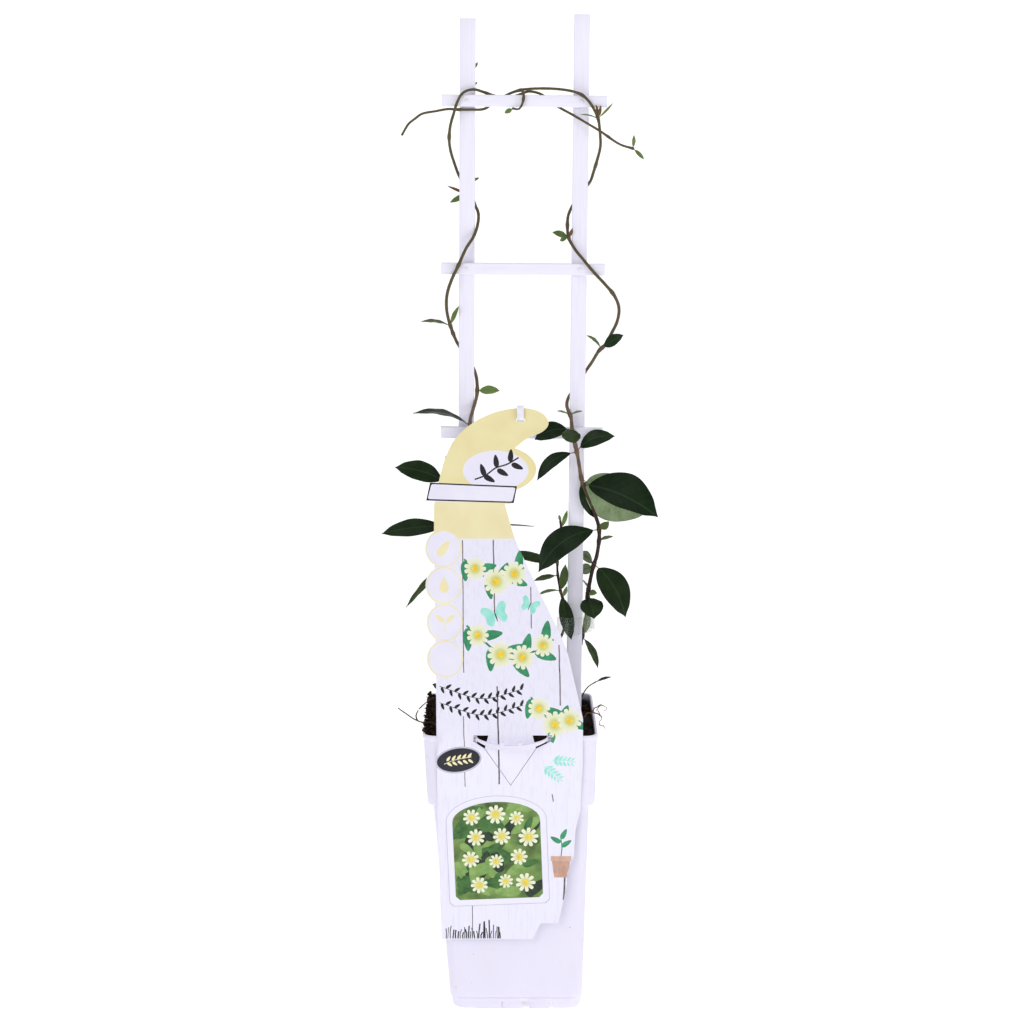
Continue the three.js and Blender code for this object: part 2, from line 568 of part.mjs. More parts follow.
// The height of the strap's lower or upper edge.
function strapHeight(x, middle, end) {
  return lerp(middle, end, Math.min(1, Math.abs(x) / STRAP.halfSpan) ** 2);
}

function strap() {
  const outline = new THREE.Shape([...bowLine(0), ...bowLine(STRAP.thickness).reverse()]);
  const bow = new THREE.ExtrudeGeometry(outline, { depth: 1, bevelEnabled: false });
  const places = bow.getAttribute("position");
  for (let i = 0; i < places.count; i++) {
    const x = places.getX(i);
    const low = strapHeight(x, STRAP.bottom, STRAP.endBottom);
    const high = strapHeight(x, STRAP.top, STRAP.endTop);
    places.setZ(i, lerp(low, high, places.getZ(i)));
  }
  const nubY = -POT.rimWidth / 2 - STRAP.bow + 1.2;
  const nubHeight = STRAP.nubHeight + STRAP.nubRoot;
  const nubs = STRAP.nubPlaces.map((x) => {
    const foot = strapHeight(x, STRAP.top, STRAP.endTop) - STRAP.nubRoot;
    return box(STRAP.nubWidth, STRAP.thickness, nubHeight, x, nubY, foot);
  });
  return [bow, ...nubs].map(toSolid);
}

function pot() {
  const notchHeight = POT.rimHeight - STRAP.notchFloor + 1;
  const notchWidth = 2 * STRAP.halfSpan - 2;
  const notch = box(notchWidth, 12, notchHeight, 0, -POT.rimWidth / 2, STRAP.notchFloor);
  const shell = cut(potShell(), [toSolid(notch)]);
  return toGeometry(join([shell, ...potFeet(), ...strap()]));
}

// ---- The ladder ----

// A bar along Z with slightly rounded edges.
function roundedBar(width, depth, length) {
  const radius = LADDER.edgeRadius;
  const shape = new THREE.Shape();
  const x = width / 2;
  const y = depth / 2;
  shape.moveTo(-x + radius, -y);
  shape.lineTo(x - radius, -y);
  shape.quadraticCurveTo(x, -y, x, -y + radius);
  shape.lineTo(x, y - radius);
  shape.quadraticCurveTo(x, y, x - radius, y);
  shape.lineTo(-x + radius, y);
  shape.quadraticCurveTo(-x, y, -x, y - radius);
  shape.lineTo(-x, -y + radius);
  shape.quadraticCurveTo(-x, -y, -x + radius, -y);
  return new THREE.ExtrudeGeometry(shape, { depth: length, bevelEnabled: false, curveSegments: 2 });
}

const RUNG_NAMES = ["top", "middle", "low"];
const rungHeightAt = (index) => LADDER.topRung - index * LADDER.rungSpacing;
const RUNG_FRONT = -LADDER.stileDepth / 2 - CLEARANCE - LADDER.rungDepth;
const stileX = (sideName) => (sideName === "left" ? -LADDER.spread / 2 : LADDER.spread / 2);

// A round bar along Y, its front end at the given depth.
function nailBar(radius, length, x, front, z) {
  return new THREE.CylinderGeometry(radius, radius, length, 8).translate(x, front + length / 2, z);
}

function nailHoles(sideNames, rungs) {
  const radius = NAIL.shaftRadius + CLEARANCE;
  const length = NAIL.length + 1;
  const front = RUNG_FRONT - 0.5;
  return sideNames.flatMap((sideName) =>
    rungs.map((index) => toSolid(nailBar(radius, length, stileX(sideName), front, rungHeightAt(index)))),
  );
}

function stile(sideName) {
  const bar = roundedBar(LADDER.stileWidth, LADDER.stileDepth, LADDER.stileLengths[sideName]);
  bar.translate(stileX(sideName), 0, 0);
  return toGeometry(cut(toSolid(bar), nailHoles([sideName], [0, 1, 2])));
}

function rung(index) {
  const bar = roundedBar(LADDER.rungHeight, LADDER.rungDepth, LADDER.rungLength);
  bar.rotateY(Math.PI / 2);
  bar.translate(-LADDER.rungLength / 2, RUNG_FRONT + LADDER.rungDepth / 2, rungHeightAt(index));
  return toGeometry(cut(toSolid(bar), nailHoles(["left", "right"], [index])));
}

function nail(sideName, index) {
  const x = stileX(sideName);
  const z = rungHeightAt(index);
  const headFront = RUNG_FRONT - CLEARANCE - NAIL.headHeight;
  const head = nailBar(NAIL.headRadius, NAIL.headHeight, x, headFront, z);
  const shaft = nailBar(NAIL.shaftRadius, NAIL.length, x, headFront + NAIL.headHeight / 2, z);
  return toGeometry(join([head, shaft].map(toSolid)));
}

// ---- Sheets and bands of even thickness ----

const planeCurve = (points, closed) =>
  new THREE.CatmullRomCurve3(
    points.map(([x, y]) => new THREE.Vector3(x, y, 0)),
    closed,
    "centripetal",
  );

// Points at an even distance to the left of a curve in the XY plane.
function besideCurve(curve, steps, offset) {
  const count = curve.closed ? steps : steps + 1;
  const points = [];
  for (let i = 0; i < count; i++) {
    const point = curve.getPoint(i / steps);
    const tangent = curve.getTangent(i / steps);
    points.push(new THREE.Vector2(point.x - tangent.y * offset, point.y + tangent.x * offset));
  }
  return points;
}

// A sheet that stands on a line in the XY plane.
function sheet(line, thickness, width, steps) {
  const curve = planeCurve(line, false);
  const leftEdge = besideCurve(curve, steps, thickness / 2);
  const rightEdge = besideCurve(curve, steps, -thickness / 2);
  const shape = new THREE.Shape([...rightEdge, ...leftEdge.reverse()]);
  return new THREE.ExtrudeGeometry(shape, { depth: width, bevelEnabled: false });
}

// A closed band that stands on a counter-clockwise loop in the XY plane.
function band(loop, thickness, width) {
  const curve = planeCurve(loop, true);
  const shape = new THREE.Shape(besideCurve(curve, BAND_STEPS, -thickness / 2));
  shape.holes.push(new THREE.Path(besideCurve(curve, BAND_STEPS, thickness / 2)));
  return new THREE.ExtrudeGeometry(shape, { depth: width, bevelEnabled: false });
}

// From the XY plane and Z to the YZ plane and X.
const SIDEWAYS = new THREE.Matrix4().makeBasis(
  new THREE.Vector3(0, 1, 0),
  new THREE.Vector3(0, 0, 1),
  new THREE.Vector3(1, 0, 0),
);

// ---- The tag: a bent sheet cut to an outline, and the tie that holds it ----

// Depth and height of the sheet's middle, from its top down to its lower edge.
const TAG_LINE = [
  [-7, 470], [-11.5, 452], [-14.2, 441], [-19.5, 420], [-30, 380], [-41, 340], [-51, 300],
  [-59, 265], [-63.6, 240], [-66.8, 219], [-65.6, 195], [-63.8, 167], [-61.8, 120], [-59.4, 50],
];
// Its outline, as seen from the front.
const TAG_HOOK = [
  [-55, 406.3], [-50.3, 423], [-42.1, 438.6], [-27.8, 450.4], [-9.8, 458], [9.8, 460.1],
  [22.4, 456.7], [27.5, 449.4], [23.1, 443.1], [11.3, 437.9], [1.2, 430.3],
];
const TAG_RIGHT_EDGE = [
  [-5.3, 390], [-1.5, 376.5], [2.3, 365], [8.6, 351], [20.9, 325.6], [38.8, 289.4],
  [46.2, 262.6], [52.9, 234],
];
const TAG_FOOT = [
  [52.8, 200.4], [51.4, 163.2], [47.8, 148.2], [46.7, 127.6], [41.5, 113.3], [41.4, 104.5],
  [37.7, 85.3], [34.9, 73.2], [21.6, 73.2], [15.7, 60.4], [-53.4, 60.4],
];
const TAG_LEFT_EDGE = [
  [-54.3, 86.9], [-55.9, 162.4], [-56.6, 262.6], [-58.4, 371.3], [-58.5, 388.7],
];
const TAG_PLAQUE = [[-61.5, 405.7], [-64.3, 392.7], [1.3, 390.8], [3.8, 403.1]];
const TAG_OVAL = { x: -10.5, z: 415.5, halfWidth: 28.8, halfHeight: 17 };
const TAG_DISC_RADIUS = 13.9;
const TAG_DISC_PLACES = [[-51.1, 357.9], [-50.7, 331.3], [-49.9, 304.3], [-49.6, 278]];
const TAG_OPENING = [
  [-28.8, 222], [-28.8, 217.4], [-20.6, 212], [-0.9, 182.8], [18.2, 212], [28.8, 217.4], [29.8, 222],
  [15.3, 222], [17.8, 212.2], [-0.9, 183.5], [-20.2, 212.2], [-17.6, 222],
];

// A prism with its outline seen from the front, through the tag's whole depth.
function frontPrism(shape) {
  const depth = 120;
  const options = { depth, bevelEnabled: false, curveSegments: 8 };
  const geometry = new THREE.ExtrudeGeometry(shape, options);
  return toSolid(geometry.rotateX(Math.PI / 2).translate(0, depth / 4, 0));
}

function tagOutline() {
  const body = new THREE.Shape();
  body.moveTo(...TAG_HOOK[0]);
  body.splineThru(flat(TAG_HOOK.slice(1)));
  body.lineTo(...TAG_PLAQUE[2]);
  body.lineTo(...TAG_RIGHT_EDGE[0]);
  body.splineThru(flat(TAG_RIGHT_EDGE.slice(1)));
  for (const point of [...TAG_FOOT, ...TAG_LEFT_EDGE]) body.lineTo(...point);
  const plaque = new THREE.Shape(flat(TAG_PLAQUE));
  const oval = new THREE.Shape();
  oval.absellipse(TAG_OVAL.x, TAG_OVAL.z, TAG_OVAL.halfWidth, TAG_OVAL.halfHeight, 0, 2 * Math.PI);
  const discs = TAG_DISC_PLACES.map(([x, z]) => {
    const disc = new THREE.Shape();
    disc.absarc(x, z, TAG_DISC_RADIUS, 0, 2 * Math.PI);
    return disc;
  });
  return join([body, plaque, oval, ...discs].map(frontPrism));
}

function tag() {
  const plastic = sheet(TAG_LINE, TAG.thickness, 2 * TAG.halfWidth, TAG.steps);
  plastic.applyMatrix4(SIDEWAYS).translate(-TAG.halfWidth, 0, 0);
  const slot = new THREE.Shape(
    flat([
      [TIE.x - TIE.slotWidth / 2, TIE.slotBottom],
      [TIE.x + TIE.slotWidth / 2, TIE.slotBottom],
      [TIE.x + TIE.slotWidth / 2, TIE.slotTop],
      [TIE.x - TIE.slotWidth / 2, TIE.slotTop],
    ]),
  );
  const opening = new THREE.Shape(flat(TAG_OPENING));
  const outlined = toSolid(plastic).intersect(tagOutline());
  return toGeometry(cut(outlined, [opening, slot].map(frontPrism)));
}

// The tie runs round the low rung, over the tag's top edge and back through the tag's slot.
const TIE_LOOP = [
  [-10.5, 450.6], [-10, 447.5], [-10, 442.5], [-9.5, 436.6], [-6.3, 435.8], [-3.2, 436.6],
  [-2.8, 442.5], [-3.1, 448], [-5.4, 454.5], [-8.1, 460.6], [-10.2, 462], [-11.7, 459.5],
  [-12.5, 456], [-13, 452.6], [-11.6, 451.6],
];

function tie() {
  const loop = band(TIE_LOOP, TIE.thickness, TIE.width).applyMatrix4(SIDEWAYS);
  return loop.translate(TIE.x - TIE.width / 2, 0, 0);
}

// Clear tape, as a band round the right stile and the stems beside it.
const TAPE_LOOP = [
  [34.4, -12.4], [42, -15.6], [50.8, -14.4], [57, -7], [62.4, 0], [64, 4.6], [62.4, 8.4],
  [56, 9], [50, 5.6], [43.4, 5], [40.6, 1.5], [37, -5],
];

const tape = () => band(TAPE_LOOP, TAPE.thickness, TAPE.height).translate(0, 0, TAPE.bottom);

// ---- The soil and what lies on it ----

const TWIG_ROUTES = [
  [
    [-52, -30, 214], [-57, -31, 220], [-62, -31.6, 222.3], [-67, -32, 222.4], [-74, -32, 225],
    [-80.5, -31.5, 229.3], [-86.6, -31, 233.6],
  ],
  [[-72, -32, 224], [-73, -30, 227.5], [-71.5, -28, 231]],
];
const ROOTLET_ROUTES = [
  [[52, -10, 213], [55, -10, 221], [61, -9, 225], [67, -8, 228.5], [70, -7, 229]],
  [[61, -9, 225], [66, -10, 223.5], [69, -12, 221.5]],
];
const SPROUT_ROUTE = [
  [50, 14, 205], [52, 12, 222], [55.2, 9.5, 233.8], [59.1, 8.2, 240.2], [65.3, 8, 244.4],
];
const SPROUT_LEAF = { at: [65, 8, 244.3], tip: [76.9, 7, 248.4], width: 4, face: [0, -0.3, 1], arch: 0.05 };

// The soil is heaped on the left and a little uneven everywhere.
const soilRise = (x, y) =>
  SOIL.leftHeap * THREE.MathUtils.smoothstep(-x, SOIL.heapFoot, SOIL.heapTop) +
  0.9 * Math.sin(0.31 * x + 0.7) * Math.cos(0.27 * y) +
  0.6 * Math.sin(0.62 * y - 0.4 * x);

function soilBody() {
  const levels = cavityLevels(CLEARANCE, SOIL.level);
  const [topWidth] = levels[levels.length - 1];
  const rings = levels.slice(0, -1).map(([width, z]) => squareRing(width, z));
  for (const share of SOIL.ringShares)
    rings.push(squareRing(topWidth * share, SOIL.level, soilRise));
  return toSolid(loft(rings));
}

// The same route from a little before its start.
function deeper(route) {
  const [first, second] = route.slice(0, 2).map(vector);
  const start = first.clone().addScaledVector(second.sub(first).normalize(), -2 * CLEARANCE);
  return [start.toArray(), ...route];
}

// Plain holes for what stands in the soil.
function soilHoles(ladder) {
  const wide = 2 * CLEARANCE;
  const stemHoles = [VINE_LEFT_ROUTE, VINE_RIGHT_ROUTE, SHOOT_LEFT_ROUTE, SHOOT_RIGHT_ROUTE].map(
    (route) => stem(deeper(route.slice(0, 4)), () => STEM.rootRadius + wide),
  );
  const fineHoles = [TWIG_ROUTES[0], ROOTLET_ROUTES[0], SPROUT_ROUTE].map((route) =>
    stem(deeper(route), () => TWIG_RADIUS + wide),
  );
  const stileHoles = ["left", "right"].map((sideName) =>
    roundedBar(LADDER.stileWidth + wide, LADDER.stileDepth + wide, POT.rimHeight)
      .translate(stileX(sideName), 0, -CLEARANCE)
      .applyMatrix4(ladder.matrixWorld),
  );
  return [...stemHoles, ...fineHoles, ...stileHoles].map(toSolid);
}

const fineStems = (routes) =>
  routes.map((route) => ({ route, radiusAt: taper(TWIG_RADIUS, FINE_RADIUS) }));

// ---- The whole plant ----

const part = new THREE.Group();

function add(parent, name, geometry, look) {
  const mesh = new THREE.Mesh(geometry, new THREE.MeshStandardMaterial(look));
  mesh.name = name;
  parent.add(mesh);
}

const ladder = new THREE.Group();
ladder.position.copy(LADDER.base);
ladder.rotation.y = LADDER.lean;
part.add(ladder);
ladder.updateMatrixWorld(true);
for (const sideName of ["left", "right"]) add(ladder, `stile_${sideName}`, stile(sideName), WHITE_WOOD);
RUNG_NAMES.forEach((name, index) => {
  add(ladder, `rung_${name}`, rung(index), WHITE_WOOD);
  for (const sideName of ["left", "right"])
    add(ladder, `nail_${name}_${sideName}`, nail(sideName, index), NAIL_STEEL);
});

const shootTaper = taper(STEM.vineRadius, STEM.shootTip);
const vineLeft = [
  { route: VINE_LEFT_ROUTE, radiusAt: vineTaper },
  { route: LEFT_TIP_ROUTE, radiusAt: taper(0.9, 0.6) },
];
const vineRight = [
  { route: VINE_RIGHT_ROUTE, radiusAt: vineTaper },
  { route: LOOSE_END_ROUTE, radiusAt: taper(1, 0.7) },
];
const shootLeft = [{ route: SHOOT_LEFT_ROUTE, radiusAt: shootTaper }];
const shootRight = [{ route: SHOOT_RIGHT_ROUTE, radiusAt: shootTaper }];

add(part, "pot", pot(), WHITE_PLASTIC);
add(part, "soil", toGeometry(cut(soilBody(), soilHoles(ladder))), DARK_SOIL);
add(part, "vine_left", leafyStem(vineLeft, VINE_LEFT_LEAVES), VINE_GREEN);
add(part, "vine_right", leafyStem(vineRight, VINE_RIGHT_LEAVES), VINE_GREEN);
add(part, "shoot_left", leafyStem(shootLeft, SHOOT_LEFT_LEAVES), VINE_GREEN);
add(part, "shoot_right", leafyStem(shootRight, SHOOT_RIGHT_LEAVES), VINE_GREEN);
add(part, "sprout", leafyStem(fineStems([SPROUT_ROUTE]), [SPROUT_LEAF]), YOUNG_GREEN);
add(part, "label", tag(), TAG_PLASTIC);
add(part, "label_tie", tie(), WHITE_PLASTIC);
add(part, "stem_tape", tape(), CLEAR_TAPE);
add(part, "twig", leafyStem(fineStems(TWIG_ROUTES), []), DRY_BROWN);
add(part, "rootlets", leafyStem(fineStems(ROOTLET_ROUTES), []), DRY_BROWN);

export default part;
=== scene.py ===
"""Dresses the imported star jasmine: a young climber on a white ladder in a tall white pot, with a
plastic hang tag. Each CAD node is replaced by a finer piece that keeps its form and its place.

Sizes are in millimetres until a mesh is made. +Z is up and the front is towards -Y.
"""
import math
import random
from collections import namedtuple

import bmesh
import bpy
from mathutils import Matrix, Vector, noise
from mathutils.geometry import delaunay_2d_cdt


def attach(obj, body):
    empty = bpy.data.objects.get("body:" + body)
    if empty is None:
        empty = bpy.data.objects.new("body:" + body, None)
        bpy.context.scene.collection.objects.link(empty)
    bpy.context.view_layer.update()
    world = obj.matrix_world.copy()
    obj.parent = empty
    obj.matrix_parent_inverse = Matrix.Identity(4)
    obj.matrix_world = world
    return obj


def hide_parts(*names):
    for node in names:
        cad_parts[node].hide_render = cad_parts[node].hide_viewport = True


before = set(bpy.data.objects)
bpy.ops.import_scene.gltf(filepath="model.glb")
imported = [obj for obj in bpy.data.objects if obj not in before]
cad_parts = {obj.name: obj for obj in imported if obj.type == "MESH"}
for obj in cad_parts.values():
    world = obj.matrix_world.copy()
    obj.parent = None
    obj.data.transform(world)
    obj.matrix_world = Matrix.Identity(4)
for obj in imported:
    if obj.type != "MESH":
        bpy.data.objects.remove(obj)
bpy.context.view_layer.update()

MM = 0.001
BODY = "root"
UP = Vector((0, 0, 1))

# ---- Sizes that the CAD model is built to ----

CLEARANCE = 0.35
POT_RIM_WIDTH = 131
POT_COLLAR_WIDTH = 126
POT_NECK_WIDTH = 117.4
POT_BASE_WIDTH = 101.5
POT_HEIGHT = 221
POT_COLLAR_HEIGHT = 165.5
POT_BASE_HEIGHT = 9.8
POT_WALL = 1.6
POT_CORNER_SHARE = 0.066
SHIFT_AT_FOOT = 3.5  # the thin pot is a little out of true: its middle lies this far to the right
SHIFT_AT_COLLAR = -0.6
SHIFT_AT_RIM = -1.3
FOOT_WIDTH = 100.4
FOOT_DRAFT = 2
FOOT_CORNER_SHARE = 0.11
FOOT_WALL = 4
FOOT_NOTCH_WIDTH = 56
FOOT_NOTCH_HEIGHT = 6
FOOT_RIBS = [(-27.1, -8), (-7.4, 7.3), (13.1, 28)]
FOOT_RIB_LENGTH = 98.4
DRAIN_OFFSET = 34
DRAIN_RADIUS = 4
STRAP_HALF_SPAN = 27
STRAP_BOW = 10
STRAP_THICKNESS = 1.6
STRAP_BOTTOM, STRAP_TOP = 212.2, 216.5  # at its middle
STRAP_END_BOTTOM, STRAP_END_TOP = 218.8, 220.6
STRAP_NOTCH_FLOOR = 211.5
STRAP_NUB_SIZE = (3.6, 1.6, 3.8)
STRAP_NUB_PLACES = (-7.5, 5.5)
SOIL_LEVEL = 214.5
LADDER_BASE = Vector((4.8, 0, 98))
LADDER_LEAN = math.radians(0.42)
STILE_SPREAD = 84
STILE_WIDTH = 11.5
STILE_DEPTH = 7
STILE_LENGTHS = {"left": 649, "right": 652.5}
RUNG_LENGTH = 122
RUNG_HEIGHT = 8.6
RUNG_DEPTH = 5
RUNG_HEIGHTS = {"top": 589.4, "middle": 466.4, "low": 343.4}
RUNG_FRONT = -STILE_DEPTH / 2 - CLEARANCE - RUNG_DEPTH
NAIL_HEAD_RADIUS = 1.3
NAIL_HEAD_HEIGHT = 0.5
VINE_TOP = 720
BARE_ABOVE = 470  # higher up, the vines have lost most of their leaves
LEAF_FOLD = 0.16  # how far a blade's halves rise, as a share of the way out
VEIN_PAIRS = 9  # along a blade
VEIN_CLIMB = 4.2  # how many spacings a side vein climbs on its way out, and how it bends
VEIN_BEND = 0.8
YOUNG_WIDTH, GROWN_WIDTH = 4, 9  # widths at which a leaf is still pale, and fully green
TAG_THICKNESS = 0.8

# ---- Stems: where they run, from the soil to the tip ----

VINE_LEFT_ROUTE = [
    (-18, -12, 188), (-19, -13, 214), (-23, -14, 250), (-28, -14, 290), (-32, -13, 330),
    (-35, -12.5, 370), (-36, -12.2, 405), (-33, -11.6, 430), (-31.2, -10.9, 442),
    (-31.6, -9.6, 450.5), (-29.5, -6.8, 458.5), (-26.6, -2, 469), (-26.4, 2, 478),
    (-28, 5.7, 486), (-33.8, 6.2, 497), (-41.2, 4.9, 508), (-46.4, 1, 521.5), (-49, -3, 534),
    (-48.5, -6.5, 545.5), (-45, -9.8, 556.5), (-40, -11.1, 567), (-34, -9, 580),
    (-28.5, -6, 588.5), (-25.6, -2, 597), (-25.2, 2.8, 605.5), (-28.4, 6, 612.5), (-34, 6.1, 623),
    (-39.5, 5, 633), (-43, 2.5, 642.5), (-45.5, 0, 651), (-46.5, -3, 659.5), (-45.5, -6, 669.5),
    (-43, -9.2, 678), (-40, -11, 687), (-36, -10.1, 693.2), (-28.5, -6, 695.8),
    (-21.5, -2.2, 694.2), (-15, 0.6, 692), (-3, 2.6, 690), (6, 1.6, 692.5), (12.5, 0.6, 694.5),
    (21.5, 0.2, 692.5), (29, -0.6, 687), (35, -2.2, 682.8), (45, -5.6, 677.3), (57, -7.6, 670.3),
    (65.5, -9.2, 665.2), (79.5, -9, 656), (89.6, -8.4, 652.8),
]
LEFT_TIP_ROUTE = [
    (-28, 5.8, 611.5), (-30, 6.4, 622), (-31, 6.4, 645), (-30.5, 6.2, 672), (-29, 6, 698),
    (-28.2, 5.6, 713),
]
VINE_RIGHT_ROUTE = [
    (49, 6, 188), (50, 7, 214), (50.5, 8, 240), (51.5, 8, 268), (55, 7, 284), (57, 5.2, 295),
    (58.3, 2, 306), (58.1, -1, 315), (59.3, -3, 324), (62.3, -4, 338.5), (64.8, -5, 347),
    (66.2, -6, 368), (59.6, -6.5, 387), (53.7, -8, 401.5), (49.4, -10.6, 425), (45.6, -11, 442),
    (44.4, -9, 453), (42.6, -5.8, 457.5), (41.5, 0.6, 461.5), (42.8, 6, 466.5), (49, 6.6, 475.5),
    (56, 5.8, 487), (60.5, 3.2, 494), (65.5, 1, 502.5), (70, 0, 507), (74.5, -2, 515.5),
    (79, -4, 525.5), (80, -6, 535.5), (76.5, -8, 544.5), (69.5, -9.8, 553), (61, -11, 562),
    (53, -9.9, 571.5), (46.5, -6.6, 579.5), (42.2, -2.5, 587.5), (41.4, 1.5, 596), (42.2, 5, 604),
    (46, 6.4, 612), (52, 6.4, 620.5), (58.5, 5, 629), (60.5, 3, 635), (63, 1, 643.5),
    (65.5, -1.5, 654.5), (65, -4.2, 665), (63.5, -7, 674.5), (60.5, -9.6, 681), (56.5, -11, 687),
    (51.5, -10.6, 691.6), (45, -8.8, 694.2), (36, -7, 695.8), (27.5, -6.2, 696.4), (17, -6, 696.4),
    (7, -5.4, 695.5), (-1, -2.2, 693.2), (-11, -1.6, 688), (-20.5, -2.4, 681.8),
    (-30.5, -5.4, 681.2), (-39.5, -5.6, 681.2), (-47, -5.8, 681.6), (-56.5, -7, 680),
    (-66.5, -8, 678), (-71.5, -8.5, 674.5), (-76, -9, 671), (-79, -9, 666.5), (-81.1, -9, 662.7),
]
LOOSE_END_ROUTE = [
    (7, -5.4, 695.5), (8.5, -9.8, 693), (7.8, -11, 686), (5, -10.4, 681.5), (0.5, -9, 682),
]
SHOOT_LEFT_ROUTE = [
    (-34, -24, 188), (-36, -26, 214), (-38, -27, 250), (-42, -24, 290), (-47, -20, 330),
    (-49, -17, 370), (-49.5, -14.5, 400), (-47, -14.5, 418),
]
SHOOT_RIGHT_ROUTE = [
    (20, -16, 188), (21, -17, 214), (25, -17, 240), (31, -14, 265), (36.5, -10.5, 281),
    (40.5, -7.4, 293), (41, -7.4, 306), (37, -9, 320), (34.5, -10, 338), (36, -9.4, 352),
    (37.5, -7, 365), (36.7, -6, 373.8),
]
SPROUT_ROUTE = [
    (50, 14, 205), (52, 12, 222), (55.2, 9.5, 233.8), (59.1, 8.2, 240.2), (65.3, 8, 244.4),
]
TWIG_ROUTES = [
    [
        (-52, -30, 214), (-57, -31, 220), (-62, -31.6, 222.3), (-67, -32, 222.4), (-74, -32, 225),
        (-80.5, -31.5, 229.3), (-86.6, -31, 233.6),
    ],
    [(-72, -32, 224), (-73, -30, 227.5), (-71.5, -28, 231)],
]
ROOT_ARC_ROUTE = [
    (-50, -5, 214), (-53, -8, 228), (-58.5, -10, 236), (-65.2, -15, 234.2), (-71.2, -20, 230),
]
ROOTLET_ROUTES = [
    [(52, -10, 213), (55, -10, 221), (61, -9, 225), (67, -8, 228.5), (70, -7, 229)],
    [(61, -9, 225), (66, -10, 223.5), (69, -12, 221.5)],
]
ROOT_TANGLE_ROUTES = [
    [(65, -9, 226), (69, -8, 229.5), (72, -8, 229), (72.6, -8.5, 226.5), (70, -9, 224.6)],
    [(66, -9, 226), (68.5, -10, 221), (68, -11, 216.5), (70.5, -12, 213)],
    [(67, -12, 215.5), (69.5, -12.5, 214.5), (72, -13, 212.6)],
]

# ---- Leaves: start on the stem, tip, width, the way the upper side faces, and how far the middle
# rises (arch) and bends aside (sweep) as shares of the length. A greater skew moves the widest place
# towards the tip, rib moves the midrib aside as a share of half the width, and youth pales the green
# from 0 to 1, or browns it if the leaf has withered ----

USUAL_ARCH = 0.05
USUAL_SKEW = 0.92
Leaf = namedtuple(
    "Leaf",
    "at tip width face arch sweep skew rib youth",
    defaults=[USUAL_ARCH, 0, USUAL_SKEW, 0, None],
)
WITHERED = 0.7

VINE_LEFT_LEAVES = [
    Leaf((-33, -9.6, 447), (-74, -20, 457.5), 12, (0.1, -0.27, 1), 0.12),
    Leaf((-26.5, 0.6, 472), (-9.2, -9, 473.4), 7, (0, -1, 0.5), 0.08, youth=0.9),
    Leaf((-46.5, 1, 521.5), (-68.3, -4, 524.8), 7, (0, -0.33, 1), 0.08),
    Leaf((-46.5, 1, 521.5), (-39.6, -7, 536.8), 3.8, (-0.6, -1, 0)),
    Leaf((-32, 6.1, 618.6), (-48.6, 5, 625.6), 2.2, (-0.1, -1, 0.2), 0, youth=WITHERED),
    Leaf((-30.3, 6.4, 629), (-24.4, 5, 631.5), 2.2, (0.2, -1, 0.2)),
    Leaf((-32.4, 6, 620), (-46.4, 5, 613.2), 4.2, (-0.1, -1, 0.2), 0),
    Leaf((89, -8.4, 652.8), (89.8, -9, 662.7), 3, (0.5, -1, 0)),
    Leaf((89.5, -8.4, 652.8), (97.4, -9.5, 645), 3.2, (0.3, -1, 0.3)),
    Leaf((-28.5, 6, 699), (-25.6, 5, 701.5), 1.8, (0.3, -1, 0)),
    Leaf((-28, 5.6, 711), (-25.4, 4.8, 716), 2, (0.3, -1, 0)),
    Leaf((-24, -14, 256), (-16, 20, 272), 14, (-0.3, 0.3, 1), 0.15),
    Leaf((-24, -14, 256), (4, 6, 262), 14, (0.2, 0.2, 1), 0.15),
    Leaf((-30, -13.6, 310), (-6, 14, 322), 12, (0.2, 0.5, 1), 0.15),
    Leaf((-34, -12.6, 356), (-6, -14, 366), 13, (0.2, -1, 0.6), 0.1),
]
